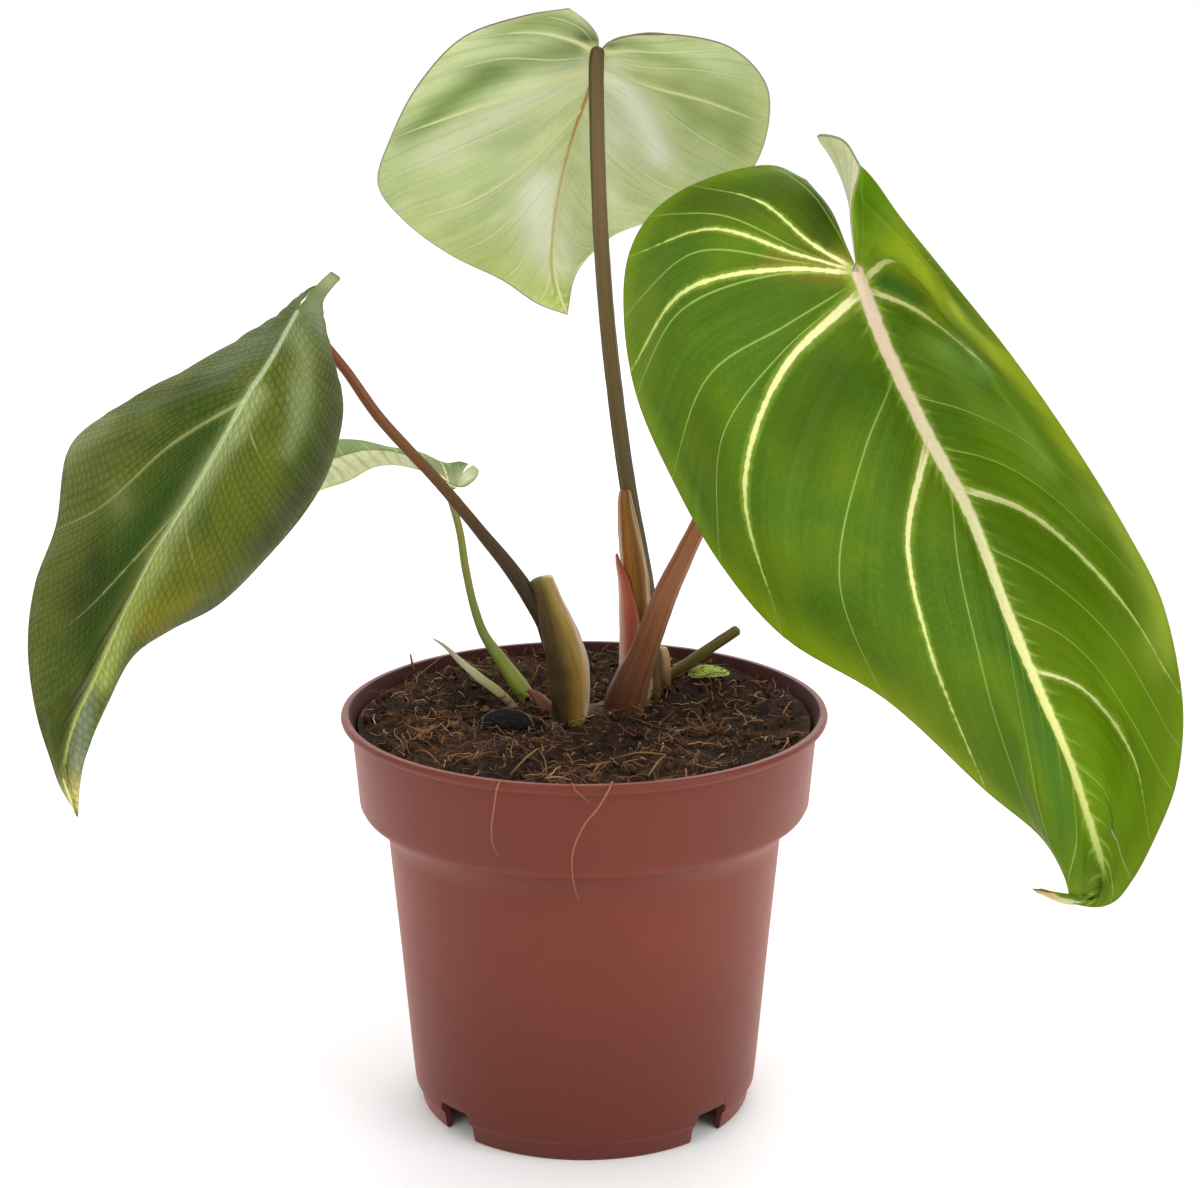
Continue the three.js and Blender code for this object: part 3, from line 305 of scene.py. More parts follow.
DRY_STRIP = [
    (-17, 16, 96, 0.8), (-21.5, 18.3, 99.8, 1), (-27, 21, 103.3, 1), (-32, 23.6, 107, 0.7),
    (-36, 26, 110.2, 0.38), (-39, 28, 111.6, 0.12),
]
SMALL_BRACT = [
    (-6.5, 7, 94.5, 1.9), (-9.5, 9.5, 98.6, 1.9), (-12, 11.8, 101, 1.3), (-14.5, 13.4, 102.4, 0.4),
]

RIDGE_COUNT = 7
RIDGE_DEPTH = 0.05
RING_COUNT = 9
RING_DEPTH = 0.05


def smooth_step(value, low, high):
    part = np.clip((value - low) / (high - low), 0, 1)
    return part * part * (3 - 2 * part)


# Sections of the stems, as a factor on the radius or as (forward, sideways): `turn` goes round from
# the front by the right, `along` from the stem's root to its end, both from 0 to 1


def ridged(turn, along):
    """A stem with low ridges that wander slightly round it."""
    return 1 + RIDGE_DEPTH * np.cos(2 * math.pi * (RIDGE_COUNT * turn + 0.4 * np.sin(5 * along)))


def ringed(turn, along):
    """A creeping stem with the rings of its old joints."""
    return 1 + RING_DEPTH * np.cos(2 * math.pi * RING_COUNT * along) + 0 * turn


def flat_strip(turn, along):
    """A thin strip with its broad side to the front, a little hollow."""
    round_it = 2 * math.pi * turn
    return 0.16 * np.cos(round_it) - 0.25 * np.sin(round_it) ** 2, 1.15 * np.sin(round_it)


def winged(turn, along):
    """A stalk whose root widens into a papery wing on the right."""
    wing = np.maximum(0, np.cos(2 * math.pi * (turn - 0.27))) ** 6 * (1 - smooth_step(along, 0.02, 0.2))
    return ridged(turn, along) + 0.3 * wing


def linear(colour):
    """The scene colour of a screen colour written as #rrggbb; one in numbers stays as it is."""
    if not isinstance(colour, str):
        return tuple(colour[:3])
    channels = [int(colour[k:k + 2], 16) / 255 for k in (1, 3, 5)]
    return tuple(c / 12.92 if c <= 0.04045 else ((c + 0.055) / 1.055) ** 2.4 for c in channels)


def rgba(colour):
    return (*linear(colour), 1.0)


def toned(colour, factor, lift=0.0):
    """A darker or lighter kind of a scene colour."""
    return tuple(min(1, c * factor + lift) for c in colour)


# Curves and noise

CURVE_SAMPLES = 40


def spline(knots, at):
    """Points at `at`, counted in knots, on a smooth curve through the knots that makes no loops."""
    knots = np.asarray(knots, float)
    if knots.ndim == 1:
        knots = knots[:, None]
    padded = np.concatenate([[2 * knots[0] - knots[1]], knots, [2 * knots[-1] - knots[-2]]])
    steps = np.diff(padded, axis=0)
    lengths = np.sqrt(np.linalg.norm(steps, axis=-1, keepdims=True)) + 1e-9
    slopes = steps / lengths
    lean = slopes[:-1] * lengths[1:] + slopes[1:] * lengths[:-1]
    lean /= lengths[:-1] + lengths[1:]
    at = np.clip(np.asarray(at, float), 0, len(knots) - 1)
    first = np.minimum(at.astype(int), len(knots) - 2)
    part = (at - first)[..., None]
    b, c = knots[first], knots[first + 1]
    start, end = lean[first] * lengths[first + 1], lean[first + 1] * lengths[first + 1]
    bend = 3 * (c - b) - 2 * start - end
    return b + part * start + part ** 2 * bend + part ** 3 * (2 * (b - c) + start + end)


def evenly(knots, spacing):
    """Knot counts at even spacing along a curve of (x, y, z, ...) knots, and their distances."""
    fine = np.linspace(0, len(knots) - 1, CURVE_SAMPLES * len(knots))
    points = spline(knots, fine)[:, :3]
    run = np.concatenate([[0], np.cumsum(np.linalg.norm(np.diff(points, axis=0), axis=1))])
    steps = max(2, round(run[-1] / spacing))
    distances = np.linspace(0, run[-1], steps + 1)
    return np.interp(distances, run, fine), distances


def rough(points, size, seed=0.0):
    """Soft noise between -1 and 1 at each point, with lumps of about `size`."""
    shift = Vector((seed, 3 * seed, 7 * seed))
    flat = np.asarray(points, float).reshape(-1, 3)
    values = [noise.noise(Vector(point) / size + shift) for point in flat]
    return np.array(values).reshape(np.shape(points)[:-1])


# Work on objects


def clear_choice():
    if bpy.context.object and bpy.context.object.mode != "OBJECT":
        bpy.ops.object.mode_set(mode="OBJECT")
    bpy.ops.object.select_all(action="DESELECT")


def choose(piece):
    """Makes the piece the only selected object, and the active one."""
    clear_choice()
    piece.select_set(True)
    bpy.context.view_layer.objects.active = piece


def named_new_object(name):
    piece = bpy.context.object
    piece.name = name
    piece.data.name = name
    if piece.name != name:
        raise RuntimeError(f"the name {name} is taken")
    return piece


def apply_modifier(piece, kind, **settings):
    choose(piece)
    modifier = piece.modifiers.new(kind.title(), kind)
    for key, value in settings.items():
        setattr(modifier, key, value)
    bpy.ops.object.modifier_apply(modifier=modifier.name)


def weld(piece, outward=False):
    """Merges the points that fall together, and can turn all faces outwards."""
    choose(piece)
    bpy.ops.object.mode_set(mode="EDIT")
    bpy.ops.mesh.select_all(action="SELECT")
    bpy.ops.mesh.remove_doubles(threshold=WELD_DISTANCE * MM)
    if outward:
        bpy.ops.mesh.normals_make_consistent(inside=False)
    bpy.ops.object.mode_set(mode="OBJECT")


def smooth(piece, degrees=60):
    choose(piece)
    bpy.ops.object.shade_smooth_by_angle(angle=math.radians(degrees))


def join(name, parts):
    choose(parts[0])
    for part in parts[1:]:
        part.select_set(True)
    bpy.ops.object.join()
    return named_new_object(name)


def shaped_grid(name, points, patch=None, flip=False):
    """A grid whose points are moved to `points`, rows by columns by 3, in millimetres.

    `patch` holds each point's two coordinates in the piece's own UV map."""
    rows, columns = points.shape[:2]
    clear_choice()
    bpy.ops.mesh.primitive_grid_add(x_subdivisions=columns - 1, y_subdivisions=rows - 1, size=1)
    piece = named_new_object(name)
    mesh = piece.data
    mesh.vertices.foreach_set("co", (points.reshape(-1, 3) * MM).ravel())
    if patch is not None:
        corners = np.empty(len(mesh.loops), int)
        mesh.loops.foreach_get("vertex_index", corners)
        mesh.uv_layers[0].data.foreach_set("uv", patch.reshape(-1, 2)[corners].ravel())
    if flip:
        mesh.flip_normals()
    mesh.update()
    return piece


def give_attribute(piece, name, values):
    """Stores one number, vector or colour for each point of the piece."""
    values = np.asarray(values, float)
    kinds = {1: ("FLOAT", "value"), 3: ("FLOAT_VECTOR", "vector"), 4: ("FLOAT_COLOR", "color")}
    kind, key = kinds[1 if values.ndim == 1 else values.shape[-1]]
    attribute = piece.data.attributes.new(name, kind, "POINT")
    attribute.data.foreach_set(key, values.ravel())


def distance_to_line(points, line):
    """How far each point lies from a line of points, or from a single one."""
    best = np.linalg.norm(points - line[0], axis=1)
    for start, step in zip(line[:-1], np.diff(line, axis=0)):
        part = np.clip((points - start) @ step / max(step @ step, 1e-9), 0, 1)
        best = np.minimum(best, np.linalg.norm(points - start - part[:, None] * step, axis=1))
    return best


SPOT_FALL = 1.2


def airbrush(points, spots):
    """One colour and its cover at each point, from soft spots (centre, radius, colour, cover). A
    list of centres makes a soft band."""
    flat = np.asarray(points, float).reshape(-1, 3)
    colour = np.zeros((len(flat), 3))
    cover = np.zeros(len(flat))
    for centre, radius, spot_colour, strength in spots:
        away = distance_to_line(flat / radius, np.atleast_2d(centre) / radius)
        coat = strength * np.exp(-SPOT_FALL * away ** 2)
        total = np.maximum(cover + coat * (1 - cover), 1e-9)
        share = (coat / total)[:, None]
        colour = colour * (1 - share) + np.array(linear(spot_colour)) * share
        cover = total
    return np.hstack([colour, cover[:, None]])


# Paint: materials as sums of sockets


class Value:
    """A number that varies over a surface; reckoning with it adds the Math nodes."""

    def __init__(self, paint, socket):
        self.paint = paint
        self.socket = socket

    def math(self, operation, *others):
        return self.paint.math(operation, self, *others)

    def __add__(self, other):
        return self.math("ADD", other)

    __radd__ = __add__

    def __mul__(self, other):
        return self.math("MULTIPLY", other)

    __rmul__ = __mul__

    def __sub__(self, other):
        return self.math("SUBTRACT", other)

    def __rsub__(self, other):
        return self.paint.math("SUBTRACT", other, self)

    def __truediv__(self, other):
        return self.math("DIVIDE", other)

    def __pow__(self, other):
        return self.math("POWER", other)

    def ramp(self, low, high):
        """0 below `low`, 1 above `high`, and a smooth rise between them."""
        node = self.paint.node(
            "ShaderNodeMapRange", {"interpolation_type": "SMOOTHSTEP"},
            {"Value": self, "From Min": low, "From Max": high})
        return Value(self.paint, node.outputs["Result"])


class Nodes:
    """A node tree, built up one node at a time."""

    def __init__(self, tree):
        self.tree = tree
        self.tree.nodes.clear()

    def node(self, kind, settings=None, sockets=None):
        node = self.tree.nodes.new(kind)
        settings = dict(settings or {})
        stops = settings.pop("stops", {})
        for key, value in settings.items():
            setattr(node, key, value)
        if stops:
            elements = node.color_ramp.elements
            while len(elements) < len(stops):
                elements.new(0.5)
            for element, (position, colour) in zip(elements, stops.items()):
                element.position = position
                element.color = rgba(colour)
        for key, value in (sockets or {}).items():
            self.feed(node.inputs[key], value)
        return node

    def feed(self, socket, value):
        if isinstance(value, Value):
            value = value.socket
        if isinstance(value, bpy.types.NodeSocket):
            self.tree.links.new(value, socket)
        else:
            socket.default_value = rgba(value) if socket.type == "RGBA" else value


class Paint(Nodes):
    """One material: its shader, and the nodes that its finish is mixed from."""

    def __init__(self, name, **shader):
        self.material = bpy.data.materials.new(name)
        self.material.use_nodes = True
        super().__init__(self.material.node_tree)
        self.shader = self.node("ShaderNodeBsdfPrincipled", {}, shader)
        self.node("ShaderNodeOutputMaterial", {}, {"Surface": self.shader.outputs[0]})
        self.place = self.node("ShaderNodeTexCoord").outputs["Object"]

    def math(self, operation, *values):
        sockets = dict(enumerate(values))
        return Value(self, self.node("ShaderNodeMath", {"operation": operation}, sockets).outputs[0])

    def noise(self, scale, detail=2.0, roughness=0.5, place=None, distortion=0.0):
        """Cloudy noise from 0 to 1; `scale` is in lumps per metre on Object coordinates."""
        node = self.node("ShaderNodeTexNoise", {}, {
            "Vector": place or self.place, "Scale": scale, "Detail": detail, "Roughness": roughness,
            "Distortion": distortion})
        return Value(self, node.outputs["Fac"])

    def cells(self, scale):
        node = self.node("ShaderNodeTexVoronoi", {}, {"Vector": self.place, "Scale": scale})
        return Value(self, node.outputs["Distance"])

    def stretched(self, place, scale):
        """Coordinates with each axis scaled on its own."""
        return self.node("ShaderNodeMapping", {}, {"Vector": place, "Scale": scale}).outputs[0]

    def numbers(self, vector):
        parts = self.node("ShaderNodeSeparateXYZ", {}, {"Vector": vector})
        return [Value(self, socket) for socket in parts.outputs]

    def stored(self, name):
        """The outputs that read one of the piece's own attributes."""
        return self.node("ShaderNodeAttribute", {"attribute_name": name}).outputs

    def attribute(self, name):
        """The three numbers of a vector attribute."""
        return self.numbers(self.stored(name)["Vector"])

    def number(self, name):
        return Value(self, self.stored(name)["Fac"])

    def tint(self, name):
        """The colour of an airbrushed attribute, and its cover."""
        outputs = self.stored(name)
        return outputs["Color"], Value(self, outputs["Alpha"])

    def patch(self):
        """The piece's own UV map, whole and as two numbers."""
        whole = self.node("ShaderNodeUVMap", {"uv_map": "UVMap"}).outputs["UV"]
        return (whole, *self.numbers(whole)[:2])

    def mix(self, share, base, over, blend="MIX"):
        node = self.node("ShaderNodeMix", {"data_type": "RGBA", "blend_type": blend},
                         {0: share, 6: base, 7: over})
        return node.outputs[2]

    def stops(self, value, stops):
        node = self.node("ShaderNodeValToRGB", {"stops": stops}, {"Fac": value})
        return node.outputs["Color"]

    def finish(self, colour=None, roughness=None, relief=None, depth=1.0):
        """Feeds the shader; `relief` is a height in millimetres."""
        if colour is not None:
            self.feed(self.shader.inputs["Base Color"], colour)
        if roughness is not None:
            self.feed(self.shader.inputs["Roughness"], roughness)
        if relief is not None:
            bump = self.node("ShaderNodeBump", {}, {
                "Strength": 1.0, "Distance": depth * MM, "Height": relief})
            self.feed(self.shader.inputs["Normal"], bump.outputs["Normal"])
        return self.material


# The blades

# Rows nearer than these, in midrib points and in shares of a row, fall together
LEAST_STATION_GAP = 0.02
LEAST_RIB_GAP = 0.35
# Above 1, the columns crowd towards the midrib
COLUMN_CROWDING = 1.12
VEIN_SAMPLES = 60
MIDRIB_SAMPLES = 160
# How much a tight hollow, in millimetres of radius, flattens the relief in it
HOLLOW_SIZE = 2.5
RIM_THICKNESS = 0.6


class BladeSide:
    """One side of a blade, as a surface over (rib, part of the way out along it)."""

    def __init__(self, midrib, ribs):
        tip = midrib[-1]
        self.midrib = midrib
        self.last = len(midrib) - 1
        ribs = [*ribs, (self.last, tip, tip, tip)]
        self.end = len(ribs) - 1
        self.roots = [rib[0] for rib in ribs]
        self.curves = [[rib[k] for rib in ribs] for k in (1, 2, 3)]
        self.fine = np.linspace(0, self.end, CURVE_SAMPLES * self.end + 1)
        raw = np.clip(spline(self.roots, self.fine)[:, 0], 0, self.last)
        self.raw = np.maximum.accumulate(raw)

    def station(self, rib):
        """Where on the midrib a rib starts, counted in midrib points."""
        return np.interp(rib, self.fine, self.raw)

    def rib_at(self, station):
        rising = self.raw + 1e-6 * self.fine
        return np.interp(station, rising, self.fine)

    def points(self, ribs, parts, stations=None):
        """A grid of points, one row for each rib."""
        ribs = np.asarray(ribs, float)
        knots = np.stack([spline(self.midrib, self.station(ribs) if stations is None else stations),
                          *[spline(curve, ribs) for curve in self.curves]])
        return np.stack([spline(knots, 3 * part) for part in parts], axis=1)


def shared_rows(sides, per_rib):
    """For each side, the ribs of its rows and the midrib stations they start from. Both sides start
    rows from all the same stations, so their points pair off along the midrib."""
    def stations(rows_a_rib):
        return np.unique(np.concatenate([
            side.station(np.linspace(0, side.end, side.end * rows_a_rib + 1)) for side in sides]))

    shared = [station for station in stations(1) if station > 0]
    for station in stations(per_rib):
        if min(station, *(abs(station - other) for other in shared)) > LEAST_STATION_GAP:
            shared.append(station)
    shared = np.array(sorted([0.0, *shared]))
    rows = []
    for side in sides:
        ribs = list(side.rib_at(shared))
        ribs[0], ribs[-1] = 0.0, side.end
        for rib in np.arange(1, side.end * per_rib) / per_rib:
            if min(abs(rib - other) for other in ribs) > LEAST_RIB_GAP / per_rib:
                ribs.append(rib)
        ribs = np.array(sorted(ribs))
        nearest = np.argmin(np.abs(side.station(ribs)[:, None] - shared), axis=1)
        rows.append((ribs, shared[nearest]))
    return rows


def nearest_stroke(points, strokes):
    """For each point, the distance to the nearest stroke, that stroke's half width there, how far
    along it the foot lies, and its number; a stroke is a list of points and a half width at each."""
    flat = points.reshape(-1, 3)
    best = np.full((len(flat), 4), 1e3)
    best[:, 1] = 0.1
    for number, (line, halves) in enumerate(strokes):
        for k in range(len(line) - 1):
            start, step = line[k], line[k + 1] - line[k]
            part = np.clip((flat - start) @ step / max(step @ step, 1e-9), 0, 1)
            away = np.linalg.norm(flat - start - part[:, None] * step, axis=1)
            half = halves[k] + part * (halves[k + 1] - halves[k])
            closer = away - half < best[:, 0] - best[:, 1]
            found = [away, half, (k + part) / (len(line) - 1), np.full(len(flat), number)]
            best[closer] = np.stack(found, axis=1)[closer]
    return best.reshape(*points.shape[:-1], 4)


def vein_halves(half, way, far, kept=0.3):
    """Half width along a vein: it thins fast, then slowly to the `kept` share of its width, and is
    gone (below 0) past `far`."""
    part = way / far
    slim = kept + (1 - kept) * np.maximum(1 - part, 0) ** 2.5
    return np.maximum(half * slim * (1 - part ** 6), -0.3)


def sided(veins, rib_grid, ribs):
    """The veins' distances with a sign that changes across each vein and nowhere else."""
    number = veins[..., 3].astype(int)
    side = np.where(rib_grid >= np.array(ribs, float)[number], 1, -1) * (1 - 2 * (number % 2))
    return np.stack([veins[..., 0] * side, veins[..., 1], veins[..., 2]], axis=-1)


def hollowness(points, normal):
    """How tightly the surface curls towards its normal, as 1 over the radius in millimetres."""
    found = np.zeros(points.shape[:-1])
    for axis in (0, 1):
        step = np.gradient(points, axis=axis)
        length = np.maximum(np.linalg.norm(step, axis=-1, keepdims=True), 1e-3)
        turn = np.gradient(step / length, axis=axis) / length
        found = np.maximum(found, (turn * normal).sum(axis=-1))
    return found


def blade_half(name, blade, side, rows, look, is_left):
    """One half of a blade's skin, with what its finish and its thickness need stored on its points."""
    ribs, stations = rows
    insertion = np.array(blade["insertion"])
    parts = np.linspace(0, 1, look["columns"] + 1) ** COLUMN_CROWDING
    points = side.points(ribs, parts, stations) + insertion
    across = np.gradient(points, axis=0)
    outward = np.gradient(points, axis=1)
    normal = np.cross(across, outward) * (blade["facing"] if is_left else -blade["facing"])
    normal /= np.maximum(np.linalg.norm(normal, axis=-1, keepdims=True), 1e-6)
    reach = np.concatenate([np.zeros((len(ribs), 1)), np.cumsum(
        np.linalg.norm(np.diff(points, axis=1), axis=-1), axis=1)], axis=1)
    rib_grid, part_grid = np.meshgrid(ribs, parts, indexing="ij")
    pitch = np.linalg.norm(np.gradient(points, axis=0), axis=-1) / np.gradient(ribs)[:, None]
    strong = blade["left_veins" if is_left else "right_veins"]
    strokes = []
    way = np.linspace(0, 1, VEIN_SAMPLES)
    for rib, half, far, *kept in strong:
        line = side.points([rib], way)[0] + insertion
        strokes.append((line, vein_halves(half, way, far, *kept)))
    spine_at = np.linspace(0, side.last, MIDRIB_SAMPLES)
    spine = spline(np.array(blade["midrib"]) + insertion, spine_at)
    spine_part = np.minimum(spine_at / side.last / look["midrib_end"], 1)
    spine_half = look["midrib_half"] * (1 - 0.85 * spine_part ** 2.2)
    veins = nearest_stroke(points, strokes)
    spine_near = nearest_stroke(points, [(spine, spine_half)])
    edge = reach[:, -1:] - reach
    inner = np.linalg.norm(points - points[:1], axis=-1)
    edge = np.minimum(edge, inner) if look["notch_margin"] else edge
    lift = blade_relief(look, rib_grid, part_grid, pitch, veins, spine_near, edge, points)
    lift /= 1 + (HOLLOW_SIZE * hollowness(points, normal)) ** 2
    points = points + normal * lift[..., None]
    patch = np.stack([rib_grid, part_grid], axis=-1)
    flip = (blade["facing"] > 0) == is_left
    half = shaped_grid(name, points, patch, flip)
    thick = look["thickness"] * (RIM_THICKNESS + (1 - RIM_THICKNESS) * smooth_step(edge, 0, 2.5))
    swell = look["vein_swell"] * np.exp(-(veins[..., 0] / np.maximum(veins[..., 1], 0.15)) ** 2)
    swell *= np.maximum(veins[..., 1], 0) / 1.2
    spine_swell = np.exp(-(spine_near[..., 0] / np.maximum(spine_near[..., 1] * 0.7, 0.2)) ** 2)
    swell = np.maximum(swell, look["midrib_swell"] * spine_swell * spine_near[..., 1] / look["midrib_half"])
    give_attribute(half, "body", (thick + swell).ravel())
    signed = sided(veins, rib_grid, [vein[0] for vein in strong])
    give_attribute(half, "veins", signed.reshape(-1, 3))
    give_attribute(half, "midrib", spine_near[..., :3].reshape(-1, 3))
    give_attribute(half, "lay", np.stack([reach, pitch, edge], axis=-1).reshape(-1, 3))
    # Spots of the leaf's own colour and of painted light and shade.
    give_attribute(half, "tint_above", airbrush(points, look["above_tone_and_light_spots"]))
    give_attribute(half, "tint_below", airbrush(points, look["below_tone_and_light_spots"]))
    return half


def blade_relief(look, rib, part, pitch, veins, spine, edge, points):
    """How far the skin rises between its veins, and the fine pleats beside them."""
    fade = smooth_step(part, 0.02, 0.2) * smooth_step(edge, 0, 6)
    valley = np.minimum(smooth_step(veins[..., 0], 0, 5), smooth_step(spine[..., 0], 0, 6))
    pleat = np.abs(np.sin(math.pi * rib * look["pleats"])) * np.clip(pitch / look["pleats"] / 6, 0, 1)
    wander = rough(points, 14, 0.4)
    return fade * (look["quilt"] * valley + look["pleat_depth"] * pleat + 0.15 * wander)


def build_blade(name, blade, look, skins):
    """The two halves of a blade, joined at the midrib and given their thickness."""
    sides = [BladeSide(blade["midrib"], blade[key]) for key in ("left", "right")]
    rows = shared_rows(sides, look["rows"])
    halves = [blade_half(f"{name}_{key}", blade, side, own_rows, look, key == "left")
              for key, side, own_rows in zip(("left", "right"), sides, rows)]
    leaf = join(name, halves)
    weld(leaf)
    body = np.empty(len(leaf.data.vertices))
    leaf.data.attributes["body"].data.foreach_get("value", body)
    thickest = float(body.max())
    group = leaf.vertex_groups.new(name="body")
    for index, thickness in enumerate(body):
        group.add([index], thickness / thickest, "REPLACE")
    for skin in skins:
        leaf.data.materials.append(skin)
    apply_modifier(leaf, "SOLIDIFY", thickness=thickest * MM, offset=-1.0, vertex_group="body",
                   thickness_vertex_group=0.0, use_even_offset=False, use_quality_normals=True,
                   material_offset=1, material_offset_rim=0)
    leaf.vertex_groups.clear()
    leaf.data.attributes.remove(leaf.data.attributes["body"])
    smooth(leaf)
    return leaf


def cushions(paint, rib, reach, pitch, size):
    """Rows of small cushions between the ribs, `size` millimetres each, that split in two where the
    ribs spread: 1 on a cushion, 0 in the creases round it."""
    spread = paint.math("LOGARITHM", paint.math("MAXIMUM", pitch, 0.3) / size, 2.0)
    rows = rib * paint.math("POWER", 2.0, paint.math("ROUND", spread))
    shift = paint.node("ShaderNodeTexWhiteNoise", {"noise_dimensions": "1D"},
                       {"W": paint.math("FLOOR", rows)}).outputs["Value"]
    across = paint.math("ABSOLUTE", paint.math("SINE", rows * math.pi))
    along = paint.math("ABSOLUTE", paint.math(
        "SINE", reach * (math.pi / size) + Value(paint, shift) * math.pi))
    return (across * along) ** 0.5


def leaf_skin(name, look, tint, roughness, sheen):
    """The finish of one side of a leaf: ground, pleats, veins, midrib and margin."""
    paint = Paint(name, **{"Sheen Weight": sheen, "Sheen Roughness": 0.45,
                           "Specular IOR Level": look["specular"]})
    patch, rib, part = paint.patch()
    vein, vein_half, vein_along = paint.attribute("veins")
    vein = paint.math("ABSOLUTE", vein)
    vein_wide = paint.math("MAXIMUM", vein_half, 0.0)
    spine, spine_half, along = paint.attribute("midrib")
    reach, pitch, edge = paint.attribute("lay")
    blotch = paint.noise(45, 3)
    speckle = paint.noise(900, 3, 0.6)
    fray = (paint.noise(520, 3, 0.6) - 0.5) * look["fray"]
    colour = paint.mix(blotch.ramp(0.35, 0.65), look["deep"], look["fresh"])

    def lay(mask, layer, blend="MIX"):
        """Lays one colour of the look over what is there."""
        nonlocal colour
        colour = paint.mix(mask, colour, look[layer], blend)

    pleat = paint.math("COSINE", rib * (2 * math.pi * look["pleats"])) * 0.5 + 0.5
    open_way = pitch.ramp(0.8, 4)
    lay(pleat ** 3 * look["pleat_cover"] * open_way, "pleat")
    cell = cushions(paint, rib, reach, pitch, look["cell"])
    # Painted shade in the creases round the cushions.
    lay((1 - cell) * look["crease_shade_cover"] * open_way, "crease_shade_colour")
    lay((speckle - 0.5).ramp(-0.05, 0.25) * look["speckle_cover"], "speckle")
    brim = 1 - (edge + (blotch - 0.5) * 12).ramp(0, look["brim_width"])
    lay(brim * look["brim_cover"], "brim")
    # The airbrushed spots: the leaf's own patches, and also painted light and shade.
    tone_and_light_colour, cover = paint.tint(tint)
    colour = paint.mix(cover, colour, tone_and_light_colour)
    # Painted shade in the creases again, over the airbrushed spots.
    crease_shade = (1 - cell) * (look["crease_shade_cover"] * 0.7) * open_way * cover
    colour = paint.mix(crease_shade, colour, (0.4, 0.42, 0.36), "MULTIPLY")
    broad, narrow = (paint.noise(1.0, 3, 0.55, paint.stretched(patch, (scale, 1.3, 1)))
                     for scale in (5, 13))
    wide = pitch.ramp(5, 16)
    streak = broad * (1 - wide) + narrow * wide
    lay(streak.ramp(0.5, 0.68) * look["streak_cover"] * open_way, "streak", "SCREEN")
    lay((1 - streak).ramp(0.5, 0.7) * look["streak_cover"] * open_way, "furrow", "MULTIPLY")

    def rib_lines(per_rib, width, offset=0.0):
        nearest = paint.math("ABSOLUTE", paint.math("FRACT", rib * per_rib + (0.5 + offset)) - 0.5)
        away = nearest * pitch / per_rib + fray * 0.25
        return 1 - away.ramp(width * 0.3, width)

    lines = rib_lines(look["lines"], look["line_width"]) * open_way * look["line_cover"]
    lay(lines * (1 - part.ramp(0.75, 1.0) * 0.6), "line")
    vein_mask = 1 - (vein + fray).ramp(vein_half * 0.75, vein_half * 0.75 + vein_wide * 0.5 + 0.12)
    halo = 1 - (vein + fray * 2).ramp(vein_half, vein_half + vein_wide * 2.2 + 0.4)
    lay(halo * look["halo"], "halo_colour")
    vein_colour = paint.mix(vein_along, look["vein_root"], look["vein_tip"])
    colour = paint.mix(vein_mask * look["vein_cover"], colour, vein_colour)
    spur = rib_lines(4, 0.7, 0.13) * (1 - (spine - spine_half + fray * 2).ramp(0, look["spurs"]))
    lay(spur * blotch.ramp(0.3, 0.55) * look["line_cover"], "halo_colour")
    spine_halo = 1 - (spine + fray * 2.5).ramp(spine_half * 0.9, spine_half * 2.0 + 0.5)
    lay(spine_halo * look["halo"], "halo_colour")
    spine_mask = 1 - (spine + fray * 1.3).ramp(spine_half * 0.7, spine_half * 1.2 + 0.2)
    spine_colour = paint.stops(along, look["midrib_stops"])
    spine_colour = paint.mix((speckle - 0.4) * 0.25, spine_colour, look["halo_colour"])
    colour = paint.mix(spine_mask * look["midrib_cover"], colour, spine_colour)
    margin = 1 - (edge + fray * 0.3).ramp(look["margin_width"] * 0.5, look["margin_width"])
    lay(margin * look["margin_cover"], "margin")
    pale = paint.math("MAXIMUM", vein_mask, spine_mask)
    relief = (speckle * 0.06 + cell * open_way * look["cell_height"] - lines * 0.08
              + pale * look["vein_height"] + paint.noise(300, 2) * 0.12)
    return paint.finish(colour, roughness - pale * 0.1 + (speckle - 0.5) * 0.12, relief)


# Looks of the leaves. A spot is airbrushed: a centre or a line of centres, its reach along each axis,
# its colour and its cover. Later spots lie over earlier ones. Besides the leaves' own patches, veins and
# tips, the spots paint light and shade: lit bands, highlights, sheen and shade in folds.

GREEN_UPPER = dict(
    columns=46, rows=7, midrib_half=1.65, midrib_end=1, spurs=4, streak_cover=0.35,
    streak="#3c4426", furrow="#c0c4b8", specular=0.1, brim_width=9, brim_cover=0,
    brim="#7f9a18", quilt=0.7, pleats=2, pleat_depth=0.25, thickness=0.55,
    midrib_swell=1.3, vein_swell=0.6, above_tone_and_light_spots=[], below_tone_and_light_spots=[], deep="#486a12",
    fresh="#607a0e", pleat="#547e1c", pleat_cover=0.2, cell=2.4, crease_shade_cover=0.1,
    crease_shade_colour="#3f6300", cell_height=0.04, speckle="#6c9010", speckle_cover=0.25, lines=1,
    line="#a4be5c", line_width=0.4, line_cover=0.65, fray=0.9, halo=0.35,
    halo_colour="#9cb440", vein_root="#fbf2b8", vein_tip="#d4e070", vein_cover=0.95,
    vein_height=0.1,
    midrib_stops={0: "#f8d8c4", 0.12: "#ffe8c8", 0.25: "#fff2c8", 0.35: "#fffabc", 0.45: "#fffcac",
        0.52: "#faf79e", 0.64: "#d6dc84", 0.74: "#9cb458", 1: "#7a9a3a"},
    midrib_cover=0.97, margin="#7d5a4c", margin_width=0.55, margin_cover=0.8,
    notch_margin=True,
)

